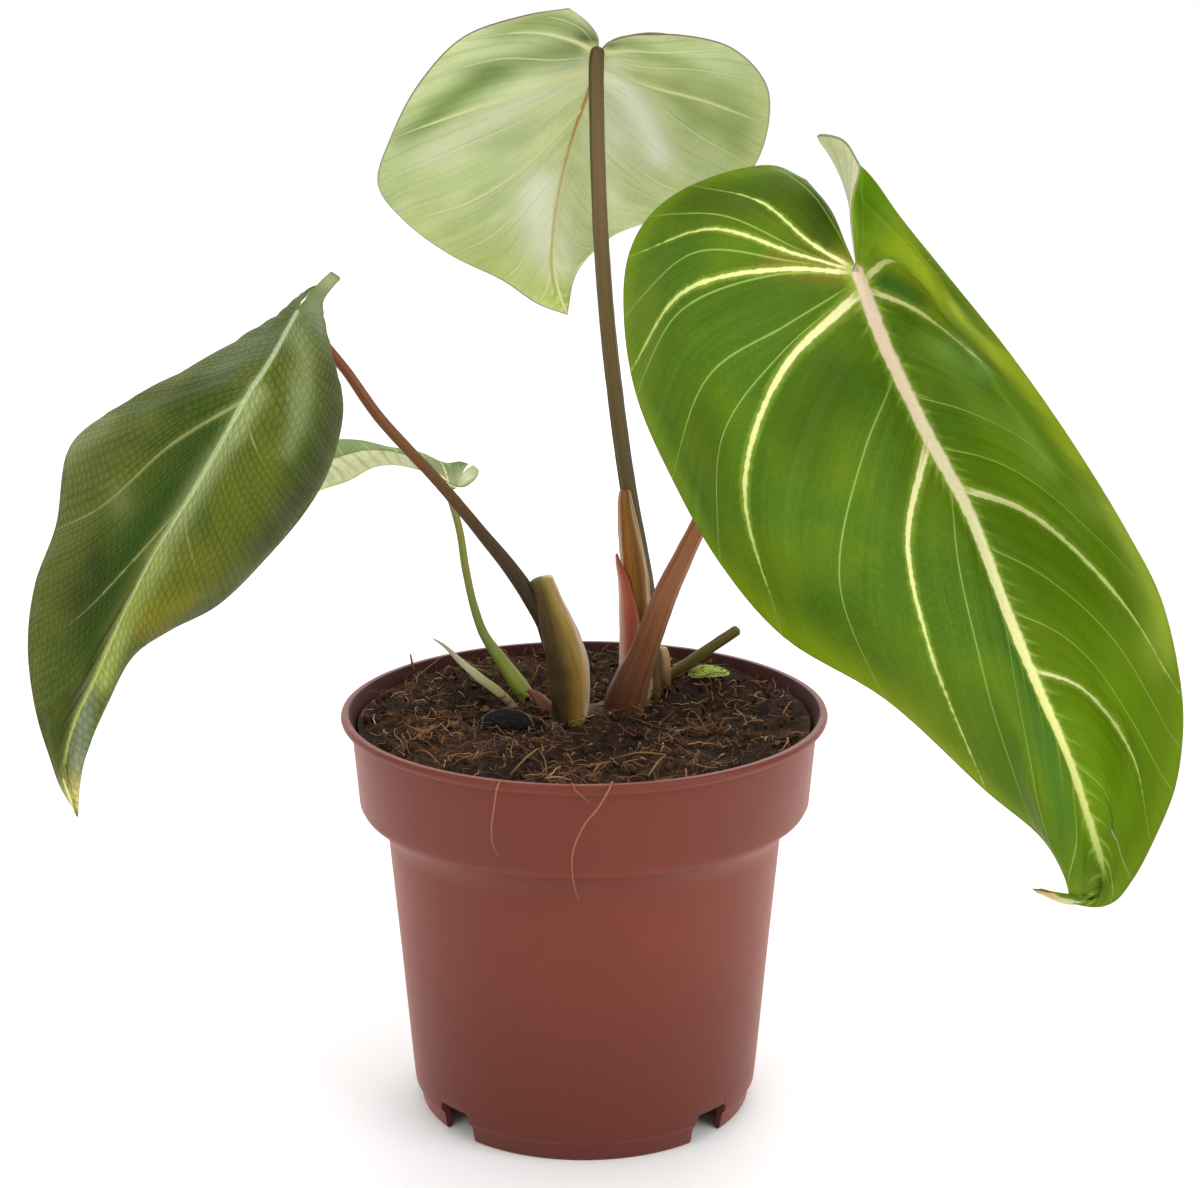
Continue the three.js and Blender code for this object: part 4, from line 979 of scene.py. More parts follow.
PALE_UNDER = dict(
    GREEN_UPPER, deep="#a9bb80", fresh="#c3d09a", pleat="#9fb573", pleat_cover=0.4,
    crease_shade_cover=0.2, crease_shade_colour="#93aa66", speckle="#d3dcb2", line="#d8dfae",
    line_cover=0.6, specular=0.2, streak_cover=0.5, halo=0.3, halo_colour="#d3dc9c",
    vein_root="#d8d49a", vein_tip="#ccd896",
    midrib_stops={0: "#8a6a3c", 0.2: "#b5854a", 0.45: "#d0c070", 1: "#d3d98a"},
    margin="#8d7a6c", fray=0.5,
)

RIGHT_LOOK = dict(
    GREEN_UPPER, brim_cover=0.5, margin="#6c6a34", margin_cover=0.5, midrib_end=0.8,
    streak_cover=0.25, halo=0.45, vein_tip="#c6d668",
    above_tone_and_light_spots=[
        # Painted light: a lighter band that lifts the shaded outer right half.
        ([(100, -14, 178), (108, -26, 160), (117, -34, 142), (121, -40, 120), (121, -46, 98)],
         (13, 22, 16), "#6e9004", 0.95),
        ([(120, -42, 163), (126, -47, 152), (131, -51, 142), (132, -42, 130)],
         (4.5, 12, 7), "#a6ba40", 0.7),
        ((117.8, -24, 160), (4, 10, 6), "#8caa3c", 0.6),
        # Painted light: the lit lobe and the glowing rolled-up strip along the fold.
        ((72, 3, 221), (12, 10, 12), "#a2c630", 0.85),
        ([(76, 0, 216), (82.9, 3.1, 206.2), (88, -5, 202), (95.6, -24.7, 193.9)],
         (7, 12, 5), "#bccc30", 0.9),
        ([(100, -34, 188), (110, -40, 172)], (6, 16, 9), "#a0b41c", 0.8),
        ((62, 0, 232), (8, 14, 12), "#86b81c", 0.7),
        ([(27.7, 1.7, 226.5), (36, -4, 226), (46, 0, 228), (54, -1, 222)], (7, 12, 7), "#445a06", 0.85),
        ([(57, -2, 218), (55, -1, 226)], (4.5, 12, 8), "#344600", 0.8),
        ([(49.8, -20.1, 176), (58.2, -16.1, 186)], (8, 12, 12), "#3a5600", 0.8),
        ([(32, -20, 165), (28, -17, 178)], (7, 12, 8), "#486200", 0.6),
        ([(69.8, -1.7, 208.5), (74.8, -0.4, 206.1), (79.3, 0.1, 202.9)], (4, 7, 3), "#3f6c28", 0.85),
        ((88, -10, 184), (6, 10, 10), "#3f6a20", 0.5),
        ([(56, -8, 211), (47, -10, 213)], (6, 8, 3), "#9c7430", 0.6),
        ((60.5, -4, 212), (4, 5, 3), "#b06a3c", 0.7),
        ([(33, -14, 138), (50, -18.5, 125), (72, -21.5, 110.5), (96, -28, 89.5)],
         (6, 12, 6), "#869c10", 0.7),
        ([(97.2, -27.5, 134), (105.1, -41.2, 111.8), (111, -49, 90)], (3, 8, 6), "#3c6a24", 0.7),
        ([(31, -14, 205), (40, -12, 206), (50, -10, 204)], (9, 10, 9), "#43600c", 0.5),
        ((84.3, -11.2, 209.4), (3.5, 6, 3), "#a4b81c", 0.8),
        ([(90, -37, 116), (97, -37, 112), (100, -36, 96)], (6, 8, 8), "#4a6e12", 0.65),
        ([(82, -3.5, 194), (92, -4, 184), (98, -5.5, 178), (103.7, -7.6, 173), (109, -10.5, 166.4)],
         (5, 8, 5), "#84aa3c", 0.6),
        # Painted light in the valley by the fold.
        ((88.6, -8, 201.5), (4, 6, 4), "#dfe858", 0.8),
        ([(86.8, -1.8, 193.2), (90.4, -1.5, 190.4), (94, -2.6, 186.5)], (3, 6, 2.6), "#a4c868", 0.75),
    ],
    below_tone_and_light_spots=[
        ((105.5, -40, 70.5), (9, 7, 3.5), "#d09058", 1),
        ((122, -48, 89.7), (3, 5, 4), "#4c7808", 1),
        ((117, -46, 71), (3.5, 5, 3), "#4c7808", 1),
        ((86.5, 1.4, 198.5), (2.5, 3, 2.5), "#8aa010", 1),
    ],
)
RIGHT_UNDER = dict(
    PALE_UNDER, deep="#c4c394", fresh="#dcdab2", streak_cover=0.15, line_cover=0.25,
)

LEFT_LOOK = dict(
    GREEN_UPPER, columns=40, midrib_half=0.55, quilt=1, pleat_depth=0.45, cell=2,
    cell_height=0.3, crease_shade_cover=0.6, notch_margin=False, deep="#46561a", fresh="#5e661c",
    pleat="#6c701c", pleat_cover=0.15, crease_shade_colour="#333f12", speckle="#7c8230",
    line="#7f9058", line_cover=0.1, halo=0.3, halo_colour="#8a964c", vein_root="#a0a86a",
    vein_tip="#8c9450", vein_cover=0.7, fray=0.4, streak_cover=0.15, spurs=1,
    midrib_stops={0: "#a9b896", 0.4: "#b6c48c", 0.7: "#b3bd62", 1: "#b9ba66"},
    above_tone_and_light_spots=[
        ([(-86, -24, 177), (-95, -26.5, 164), (-102, -27, 153), (-109, -27.5, 140), (-115, -27, 126)],
         (6.5, 9, 7), "#2e4c12", 0.9),
        ((-117, -25.5, 136), (7, 9, 9), "#343e10", 0.8),
        ([(-101, -22, 174), (-89, -15.6, 185)], (6, 8, 4), "#3a4a1c", 0.6),
        ((-81, -29, 160), (6, 8, 9), "#66741a", 0.6),
        ([(-74, -14, 196), (-84, -14, 189)], (5, 8, 5), "#6f7e62", 0.5),
        ([(-75, -25, 185), (-79, -27.5, 178), (-86, -28.5, 168), (-92.5, -29, 157.5), (-98.5, -28.5, 147)],
         (2.6, 5, 3), "#a8b474", 0.75),
        ([(-98.5, -28.5, 147), (-104, -28, 137), (-109.5, -27, 127), (-113.5, -26.8, 117)],
         (3, 5, 3.4), "#aab660", 0.8),
        ([(-67.3, -13.5, 197.6), (-65.1, -15.9, 191.5), (-64.9, -19.9, 184.4), (-66.3, -20.7, 178),
         (-69, -21.8, 171.8)], (3, 5, 3), "#98a672", 0.5),
        ((-73, -24, 170), (5, 9, 9), "#6f7c1c", 0.5),
        ((-90, -29, 147), (8, 8, 8), "#727620", 0.5),
        ([(-101.4, -28, 132.8), (-93.7, -26, 137)], (5, 8, 4), "#8a8418", 0.6),
        ([(-60, -6, 186), (-61, -8, 174), (-66, -10, 161), (-76, -16, 148)], (4.5, 9, 6), "#363e0c", 0.85),
        ((-101, -27, 128), (5, 9, 5), "#857a22", 0.6),
        # Painted highlight along the upper left edge.
        ([(-112, -8, 174), (-121, -5, 168)], (6, 7, 4), "#98a06a", 0.6),
        # Painted highlight on the curl by the tip.
        ([(-117, -25, 113), (-119, -26, 104), (-120.5, -28, 97)], (2.4, 5, 4), "#8f9a80", 0.7),
        ((-60.5, 4, 207), (4, 7, 4), "#a3ab86", 0.7),
        # Painted sheen near the top.
        ((-64, -4, 200), (4, 7, 6), "#93a184", 0.55),
        ((-120.5, -29, 88), (5, 8, 6), "#d8cc80", 0.95),
        ((-66.7, -22, 183), (2, 4, 6), "#a8b488", 0.3),
        ((-101, -19, 178), (5, 8, 4), "#6f7a34", 0.5),
        ((-107.5, -24.6, 160), (4, 8, 5), "#7c864c", 0.6),
        ((-113, -26, 145.7), (4, 8, 7), "#283a12", 0.75),
    ],
)

BACK_LOOK = dict(
    PALE_UNDER, columns=40, midrib_half=1, quilt=0.8,
    midrib_stops={0: "#8a6a3c", 0.15: "#b08550", 0.3: "#ccac74", 0.45: "#dccf98", 1: "#d9dfa0"},
    midrib_swell=1.2, vein_swell=0.7, fray=0.35, margin="#9c9a7c", margin_width=0.4,
    crease_shade_cover=0.08, cell_height=0.03, deep="#b4c184", fresh="#cdd79c", streak_cover=0.3,
    below_tone_and_light_spots=[
        # The upper left lobe darker: partly its own deeper green, partly painted shade where it curls down
        # behind the stalk.
        ([(-4, 27, 259), (-15, 25, 256.5), (-25, 27.4, 252.6), (-35, 28.6, 245.7), (-44, 28, 237)],
         (5, 7, 4), "#64803a", 0.85),
        ((-24, 26, 255.5), (8, 6, 3), "#4c6626", 0.5),
        ([(-1, 24, 264), (-9, 18.3, 267), (-18, 17, 264)], (6, 6, 4), "#7c8e4c", 0.75),
        ((-18, 43, 237), (9, 7, 4), "#9cab6c", 0.7),
        ([(23, 36, 250), (28, 41, 243), (34.6, 39.8, 240), (39.4, 44, 233.5)],
         (4.5, 7, 5), "#8a9c58", 0.8),
        ([(-4, 36, 256), (-14, 36, 248.5), (-26, 37, 241), (-38, 36, 233)], (6, 7, 3.4), "#cfd4b0", 0.7),
        ([(-12, 70, 222), (-11.5, 74, 216), (-9.5, 80, 206)], (7, 12, 7), "#eef0dc", 0.85),
        ([(-20, 47, 229), (-34, 43, 224)], (7, 8, 3.2), "#b6c888", 0.6),
        ([(-40, 45, 214), (-24, 64, 205), (-12, 80, 194)], (9, 10, 6), "#b0bc5c", 0.6),
        ([(8, 22, 261.5), (20, 26, 258), (32, 28, 250), (39, 37, 240)], (5, 7, 4), "#8a9f54", 0.8),
        ([(5, 36, 254), (13, 47, 244), (19, 56, 232)], (5, 8, 5), "#f0f2e0", 0.8),
        ((7, 60, 236), (8, 12, 12), "#e9ebda", 0.6),
        ([(43, 26, 248), (45, 36, 238), (39, 48, 228)], (3, 6, 4), "#c9d480", 0.4),
        # Painted shade where the stalk meets the blade.
        ([(0, 27, 262), (5, 27, 261.5)], (3.5, 4, 2.6), "#45461a", 0.95),
        ((-7, 86, 199), (5, 8, 5), "#eef0d0", 0.7),
        ((6.4, 68, 219), (5, 12, 8), "#f0f0cc", 0.7),
        ((-39, 48, 221), (6, 8, 7), "#b4c080", 0.6),
        ((-6, 28, 257), (6, 7, 5), "#8c9a58", 0.6),
        ([(14, 33, 252.5), (28, 35, 248)], (7, 7, 4), "#92a058", 0.7),
        ((-7.5, 88, 190.5), (6, 8, 4.6), "#a8b644", 0.85),
        ((-5, 89, 186), (4, 5, 3), "#a89448", 0.8),
    ],
)

YOUNG_LOOK = dict(
    PALE_UNDER, rows=5, columns=20, midrib_half=0.7, midrib_swell=0.5, quilt=0.3,
    pleat_depth=0.08, vein_swell=0.2, thickness=0.4, deep="#e2e4b0", fresh="#fffbd2",
    margin_cover=0.15,
    above_tone_and_light_spots=[
        ((-30, 33, 153), (6, 6, 5), "#eef0c8", 1),
        ((-40, 39, 155.5), (5, 5, 3), "#96965a", 0.6),
    ],
)
YOUNG_UPPER = dict(
    GREEN_UPPER, margin_cover=0.15, deep="#6c7e48", fresh="#84945c",
)


# Stems


# Where the rings of a rounded end lie, as shares of its length
CAP_RINGS = np.array([0, 0.02, 0.1, 0.25, 0.5, 0.75, 1.0])
LUMP_SIZE = 4.0
STEM_SPACING = 0.9


def tube_points(route, sides, spacing, section=None, rounding=0.8):
    """Rings of points along a route of (x, y, z, radius), closing to a point at both ends."""
    even_at, even_run = evenly(route, spacing)
    length = even_run[-1]
    root_cap = route[0][3] * rounding
    end_cap = route[-1][3] * rounding
    inner = even_run[(even_run > root_cap * 1.2) & (even_run < length - end_cap * 1.2)]
    run = np.concatenate([CAP_RINGS * root_cap, inner, length - (CAP_RINGS * end_cap)[::-1]])
    line = spline(route, np.interp(run, even_run, even_at))
    centre, radius = line[:, :3], line[:, 3]
    shut_root = np.clip(run / root_cap, 0, 1)
    shut_end = np.clip((length - run) / end_cap, 0, 1)
    radius = radius * np.sqrt(1 - (1 - shut_root) ** 2) * np.sqrt(1 - (1 - shut_end) ** 2)
    fine_run = np.linspace(0, length, 400)
    slope = np.gradient(spline(route, np.interp(fine_run, even_run, even_at))[:, :3], axis=0)
    tangent = np.stack([np.interp(run, fine_run, part) for part in slope.T], 1)
    tangent /= np.linalg.norm(tangent, axis=1, keepdims=True)
    front = np.array([0.0, -1.0, 0.0])
    turn = np.linspace(0, 1, sides + 1)
    rows = []
    for middle, size, way, part in zip(centre, radius, tangent, run / length):
        front = front - way * (front @ way)
        front /= np.linalg.norm(front)
        right = np.cross(way, front)
        shape = section(turn, part) if section else np.ones_like(turn)
        if isinstance(shape, tuple):
            forward, sideways = shape
        else:
            forward = shape * np.cos(2 * math.pi * turn)
            sideways = shape * np.sin(2 * math.pi * turn)
        rows.append(middle + size * (forward[:, None] * front + sideways[:, None] * right))
    points = np.array(rows)
    points[:, -1] = points[:, 0]
    along = np.broadcast_to((run / length)[:, None], points.shape[:2])
    round_it = np.broadcast_to(turn, points.shape[:2])
    return points, np.stack([round_it, along], axis=-1)


def tube(name, route, sides, spacing, section=None, rounding=0.8, wobble=0.0):
    """A welded tube; `wobble` is how far soft lumps swell it, as a share of its radius."""
    points, patch = tube_points(route, sides, spacing, section, rounding)
    if wobble:
        bumps = rough(points, LUMP_SIZE, len(name))
        centre = points[:, :-1].mean(axis=1, keepdims=True)
        points = points + (points - centre) * (bumps * wobble)[..., None]
        points[:, -1] = points[:, 0]
    piece = shaped_grid(name, points, patch)
    weld(piece, outward=True)
    smooth(piece)
    return piece


# Finishes of the stems: their colours from root to end, the long streaks, how much those cover,
# roughness, relief, and for some the fine flecks and their cover, and the colours from the left side
# to the right, painted shade and highlight as the stem is seen from the front, and their cover
STEM_FINISHES = {
    "pink_stalk": (
        {0: "#1c0a04", 0.09: "#34180a", 0.18: "#6e3c1e", 0.3: "#9e6440", 0.7: "#a06844", 1: "#a8805c"},
        "#50280f", 0.65, 0.5, 0.2, "#b98060", 0.12,
        {0: "#7a4c34", 0.2: "#5c3420", 0.55: "#805034", 0.85: "#a47448", 1: "#b08860"}, 0.3),
    "olive_stalk": (
        {0: "#5a4020", 0.3: "#1a1608", 0.5: "#42381a", 0.75: "#665030", 0.88: "#4e3e1e", 0.95: "#2c240c",
         1: "#181406"}, "#7c6a3c", 0.45, 0.5, 0.12, "#857450", 0.25,
        {0: "#3c3214", 0.3: "#6a5630", 0.7: "#7a6440", 1: "#3c3214"}, 0.5),
    "dark_stalk": (
        {0: "#1e1606", 0.25: "#2a1f0a", 0.42: "#3c2c10", 0.6: "#6a4420", 0.8: "#7a4228", 1: "#82442c"},
        "#4a3c16", 0.4, 0.5, 0.12, "#8a6440", 0.2),
    "green_stalk": (
        {0: "#7c9030", 0.2: "#7a9428", 0.35: "#6c7c2c", 0.6: "#7c7c34", 0.85: "#90883c", 1: "#a8984a"},
        "#5a6a1c", 0.4, 0.5, 0.1, "#b0ac60", 0.25,
        {0: "#4c5c1c", 0.35: "#7c8430", 0.75: "#a8a860", 1: "#8c8c48"}, 0.45),
    "ochre_sheath": (
        {0: "#a07c44", 0.3: "#846832", 0.93: "#80702c", 1: "#c0b050"},
        "#4a3410", 0.5, 0.55, 0.3, "#b08c3c", 0.12,
        {0: "#1a1206", 0.25: "#261a0a", 0.42: "#33240c", 0.54: "#5a4614", 0.68: "#7c6420",
         0.82: "#98783a", 0.93: "#b8986c", 1: "#d8c4b0"}, 0.85),
    "brown_sheath": (
        {0: "#8a4c24", 0.5: "#8c581c", 0.9: "#94641e", 1: "#6c4c28"},
        "#54340e", 0.6, 0.55, 0.2, "#b88a50", 0.25,
        {0: "#d4b8a8", 0.1: "#b08060", 0.25: "#965a18", 0.5: "#94641a", 0.68: "#5a3a14",
         0.8: "#8c6430", 0.9: "#d4bc9c", 1: "#b09078"}, 0.75),
    "red_bract": (
        {0: "#b07c48", 0.35: "#b07450", 0.65: "#ac5a44", 0.9: "#a04438", 1: "#6c2c28"},
        "#c08868", 0.3, 0.55, 0.15, "#c09080", 0.2,
        {0: "#e0c8bc", 0.18: "#c89484", 0.36: "#a85840", 0.6: "#98382a", 1: "#8c4a2a"}, 0.8),
    "olive_stub": ({0: "#58501c", 1: "#564820"}, "#7a6c30", 0.5, 0.5, 0.2),
    "pale_stub": (
        {0: "#4c3824", 0.5: "#7a5c40", 0.7: "#b8946c", 1: "#cca884"}, "#8a6444", 0.5, 0.7, 0.3),
    "dry_strip": (
        {0: "#8a7848", 0.3: "#b8b078", 0.6: "#d8d8b0", 1: "#a0a080"}, "#98945c", 0.4, 0.7, 0.2),
    "small_bract": ({0: "#5c3018", 1: "#784428"}, "#3a2010", 0.5, 0.55, 0.2),
    "straw": ({0: "#6e4e2c", 1: "#96703c"}, "#5a3c20", 0.5, 0.7, 0.15),
    "creeping_stem": ({0: "#4a3428", 0.5: "#604a3a", 1: "#4c3e2a"}, "#5c4436", 0.6, 0.7, 0.4),
    "root": ({0: "#b08a60", 1: "#8f6a44"}, "#6a4a30", 0.4, 0.8, 0.15),
    "rim_fibre": ({0: "#8a5a3c", 0.5: "#a06448", 1: "#84503c"}, "#703c2a", 0.5, 0.6, 0.05),
}
NOTHING = (None, 0.0)


def stem_skin(name):
    """Plant stem: a colour along its length, painted shade and highlight from its left side to its
    right, long streaks and fine flecks."""
    finish = STEM_FINISHES[name]
    stops, streak, streak_cover, roughness, relief = finish[:5]
    fleck, fleck_cover = finish[5:7] or NOTHING
    across, side_shade_cover = finish[7:] or NOTHING
    paint = Paint(name, **{"Specular IOR Level": 0.25})
    whole, turn, along = paint.patch()
    colour = paint.stops(along, stops)
    # Painted shade and highlight across the stem, from its left side to its right as seen from the front.
    if across:
        wander = (paint.noise(1.0, 2, 0.5, paint.stretched(whole, (9, 2.5, 1))) - 0.5) * 0.25
        side = paint.math("SINE", turn * (2 * math.pi)) * 0.5 + 0.5 + wander
        colour = paint.mix(side_shade_cover, colour, paint.stops(side, across))
    streaks = paint.noise(1.0, 3, 0.6, paint.stretched(whole, (14, 1.6, 1)))
    colour = paint.mix(streaks.ramp(0.42, 0.7) * streak_cover, colour, streak)
    grain = paint.noise(1500, 3)
    if fleck:
        colour = paint.mix((grain - 0.5).ramp(0, 0.3) * fleck_cover, colour, fleck)
    return paint.finish(colour, roughness + (grain - 0.5) * 0.2, (streaks + grain * 0.3) * relief)


# Pot and soil


POT_OUTSIDE = [
    (FOOT_RADIUS - 0.5, 0), (FOOT_RADIUS, 0.6), (FOOT_RADIUS + 0.7, 4.4), (FOOT_RADIUS + 1.7, 5.6),
    (FOOT_RADIUS + 2.2, 11), (FOOT_RADIUS + 4.6, 40),
    (SHOULDER_RADIUS - 0.2, SHOULDER_HEIGHT - 2), (SHOULDER_RADIUS + 0.6, SHOULDER_HEIGHT + 0.8),
    (SHOULDER_RADIUS + 3, SHOULDER_HEIGHT + 4), (COLLAR_RADIUS - 0.7, COLLAR_HEIGHT - 1.4),
    (COLLAR_RADIUS, COLLAR_HEIGHT), (COLLAR_RADIUS + 1.6, POT_HEIGHT - 3.1),
    (RIM_RADIUS - 1.1, POT_HEIGHT - 2.2), (RIM_RADIUS - 0.25, POT_HEIGHT - 1.6),
    (RIM_RADIUS, POT_HEIGHT - 0.9), (RIM_RADIUS - 0.2, POT_HEIGHT - 0.25), (RIM_RADIUS - 0.6, POT_HEIGHT),
]
POT_INSIDE = [
    (RIM_RADIUS - 1.9, POT_HEIGHT), (RIM_RADIUS - 2.5, POT_HEIGHT - 0.7),
    (COLLAR_RADIUS + 0.1, POT_HEIGHT - 5), (COLLAR_RADIUS - WALL, COLLAR_HEIGHT + 0.4),
    (COLLAR_RADIUS - 1.9, COLLAR_HEIGHT - 0.8), (SHOULDER_RADIUS + 1.9, SHOULDER_HEIGHT + 4.2),
    (SHOULDER_RADIUS - 1.3, SHOULDER_HEIGHT - 1.2), (FOOT_RADIUS + 0.8, FLOOR_HEIGHT + WALL),
]
POT_DISH_INSIDE = [
    (DISH_RADIUS + 2, FLOOR_HEIGHT + WALL), (DISH_RADIUS - WALL, FLOOR_HEIGHT - 1.6),
    (DISH_RADIUS - WALL - 0.4, WALL), (0, WALL),
]
POT_DISH_UNDER = [
    (0, 0), (DISH_RADIUS - 0.6, 0), (DISH_RADIUS, 0.6), (DISH_RADIUS + 0.3, FLOOR_HEIGHT - 1.6),
    (DISH_RADIUS + 2.6, FLOOR_HEIGHT),
]
POT_SKIRT = [
    (FOOT_RADIUS - WALL + 0.4, FLOOR_HEIGHT), (FOOT_RADIUS - WALL - 0.2, 0.4), (FOOT_RADIUS - WALL, 0),
]


def spun(name, profile, steps):
    """Draws a profile of (radius, height) by extruding one point, and spins it round the Z axis."""
    clear_choice()
    bpy.ops.mesh.primitive_plane_add(size=MM)
    piece = named_new_object(name)
    bpy.ops.object.mode_set(mode="EDIT")
    bpy.ops.mesh.select_all(action="SELECT")
    bpy.ops.mesh.merge(type="CENTER")
    here = profile[0]
    bpy.ops.transform.translate(value=(here[0] * MM, 0, here[1] * MM))
    for radius, height in profile[1:]:
        step = ((radius - here[0]) * MM, 0, (height - here[1]) * MM)
        bpy.ops.mesh.extrude_region_move(TRANSFORM_OT_translate={"value": step})
        here = (radius, height)
    bpy.ops.mesh.select_all(action="SELECT")
    bpy.ops.mesh.spin(steps=steps, angle=2 * math.pi, center=(0, 0, 0), axis=(0, 0, 1))
    bpy.ops.object.mode_set(mode="OBJECT")
    weld(piece, outward=True)
    return piece


def notch_cutter(degrees):
    """The rounded block that cuts one notch in the foot; its angle is measured from the front."""
    clear_choice()
    bpy.ops.mesh.primitive_cube_add(size=MM)
    block = named_new_object(f"notch_cutter_{degrees}")
    bpy.ops.object.mode_set(mode="EDIT")
    bpy.ops.mesh.select_all(action="SELECT")
    bpy.ops.transform.resize(value=(NOTCH_WIDTH, 14, 2 * (NOTCH_HEIGHT + 1.2)))
    bpy.ops.transform.translate(value=(0, -FOOT_RADIUS * MM, -1.2 * MM))
    bpy.ops.object.mode_set(mode="OBJECT")
    apply_modifier(block, "BEVEL", width=1.1 * MM, segments=4, limit_method="ANGLE")
    block.data.transform(Matrix.Rotation(math.radians(degrees), 4, "Z"))
    return block


def drain_cutter(index):
    angle = 2 * math.pi * (index + 0.5) / DRAIN_COUNT
    clear_choice()
    bpy.ops.mesh.primitive_cylinder_add(
        vertices=32, radius=DRAIN_RADIUS * MM, depth=3 * FLOOR_HEIGHT * MM)
    drill = named_new_object(f"drain_cutter_{index}")
    place = (DRAIN_CIRCLE * math.cos(angle) * MM, DRAIN_CIRCLE * math.sin(angle) * MM, FLOOR_HEIGHT * MM)
    drill.data.transform(Matrix.Translation(place))
    return drill


def cut(piece, cutter):
    apply_modifier(piece, "BOOLEAN", object=cutter, operation="DIFFERENCE", solver="EXACT")
    bpy.data.objects.remove(cutter)


def pot_plastic(colour):
    """Moulded plastic: even brown red, a soft gloss, faint turning lines and a little dust, with painted
    shade: darker towards the bottom and on the collar, and near black inside above the soil.
    """
    paint = Paint("pot_plastic", **{"Specular IOR Level": 0.18, "Sheen Weight": 0.42,
                                    "Sheen Roughness": 0.35, "Sheen Tint": "#e49480"})
    cloud = paint.noise(28, 3)
    dust = paint.noise(160, 5, 0.65)
    rings = paint.noise(1.0, 2, 0.5, paint.stretched(paint.place, (4, 4, 900)))
    _, depth, height = paint.numbers(paint.place)
    back = depth.ramp(-0.03, 0.0)
    darker = toned(colour, 0.6)
    lighter = toned(colour, 1.25, 0.02)
    mixed = paint.mix(cloud.ramp(0.3, 0.7), colour, toned(colour, 0.93))
    # Painted shade: darker towards the bottom.
    mixed = paint.mix((1 - height.ramp(0.0, 0.07)) * 0.8, mixed, darker)
    # Painted shade on the collar and lip, above 80 mm.
    mixed = paint.mix(height.ramp(0.078, 0.082) * 0.3, mixed, darker)
    mixed = paint.mix(dust.ramp(0.6, 0.8) * 0.12, mixed, lighter)
    plan = paint.node("ShaderNodeVectorMath", {"operation": "LENGTH"}, {
        0: paint.stretched(paint.place, (1, 1, 0))})
    wall = (height - COLLAR_HEIGHT * MM) * COLLAR_SLOPE + (COLLAR_RADIUS - WALL / 2) * MM
    lip = height.ramp(0.0985, 0.0995) * back * (1.6 * MM)
    inside = 1 - (Value(paint, plan.outputs["Value"]) - wall - lip).ramp(-0.0003, 0.0003)
    # Painted shade, with some soil stain: the inner wall near black, and the top of the lip darker at the
    # back.
    shade_and_soil = inside * height.ramp(0.07, 0.09) * (1 - height.ramp(0.1005, 0.102) * (0.7 - back * 0.6))
    mixed = paint.mix(shade_and_soil * (dust * 0.2 + 0.8), mixed, "#1e0e0c")
    return paint.finish(mixed, 0.36 + dust * 0.12 + rings * 0.04, rings * 0.05 + dust * 0.03)


def pot_inside_shade():
    """The wall above the soil: painted shade, near black, mottled with peat dust."""
    paint = Paint("pot_inside_shade", **{"Specular IOR Level": 0.1})
    dust = paint.noise(160, 5, 0.65)
    colour = paint.mix(dust.ramp(0.4, 0.8), "#401e1a", "#2e1713")
    return paint.finish(colour, 0.6, dust * 0.05)


def soil_height(x, y):
    """Height of the soil's top, heaped up a little against the wall."""
    heaps = np.sin(0.13 * x + 1.3) * np.cos(0.11 * y - 0.4) + 0.6 * np.sin(0.21 * x - 0.17 * y)
    crumbs = 0.45 * np.sin(0.55 * x + 0.3 * y) * np.sin(0.5 * y - 0.2 * x + 1)
    edge = smooth_step(np.hypot(x, y), 0.8 * SOIL_RADIUS, SOIL_RADIUS)
    heap = SOIL_HEAP * smooth_step(np.hypot(x, y), 0.5 * SOIL_RADIUS, 0.95 * SOIL_RADIUS)
    return SOIL_TOP + SOIL_BUMP * (heaps + crumbs) * (1 - 0.6 * edge) + 0.014 * (y + 20) + heap


def soil_points(turns, rings):
    """Rows of points from the middle of the top out to the wall, down and in under the pot's floor."""
    angle = np.linspace(0, 2 * math.pi, turns + 1)
    reach = np.linspace(0, 1, rings) ** 0.8 * SOIL_RADIUS
    x, y = reach[:, None] * np.cos(angle), reach[:, None] * np.sin(angle)
    top = np.stack([x, y, soil_height(x, y)], axis=-1)
    lumps = 1.3 * rough(top, 5.5, 0.2) + 0.9 * rough(top, 2.4, 1.7) + 0.5 * rough(top, 1.2, 2.9)
    top[..., 2] += (lumps - 0.6) * (1 - smooth_step(reach / SOIL_RADIUS, 0.93, 1.0))[:, None]
    side = [(SOIL_RADIUS - 0.7, COLLAR_HEIGHT + 12), (COLLAR_RADIUS - WALL - 0.9, COLLAR_HEIGHT + 3),
            (COLLAR_RADIUS - WALL - 1.8, COLLAR_HEIGHT), (SHOULDER_RADIUS - WALL - 1.2, SHOULDER_HEIGHT),
            (FOOT_RADIUS - WALL - 0.2, FLOOR_HEIGHT + WALL + 0.4), (0, FLOOR_HEIGHT + WALL + 0.4)]
    down = np.array([[(r * math.cos(a), r * math.sin(a), h) for a in angle] for r, h in side])
    points = np.concatenate([top, down])
    points[:, -1] = points[:, 0]
    return points


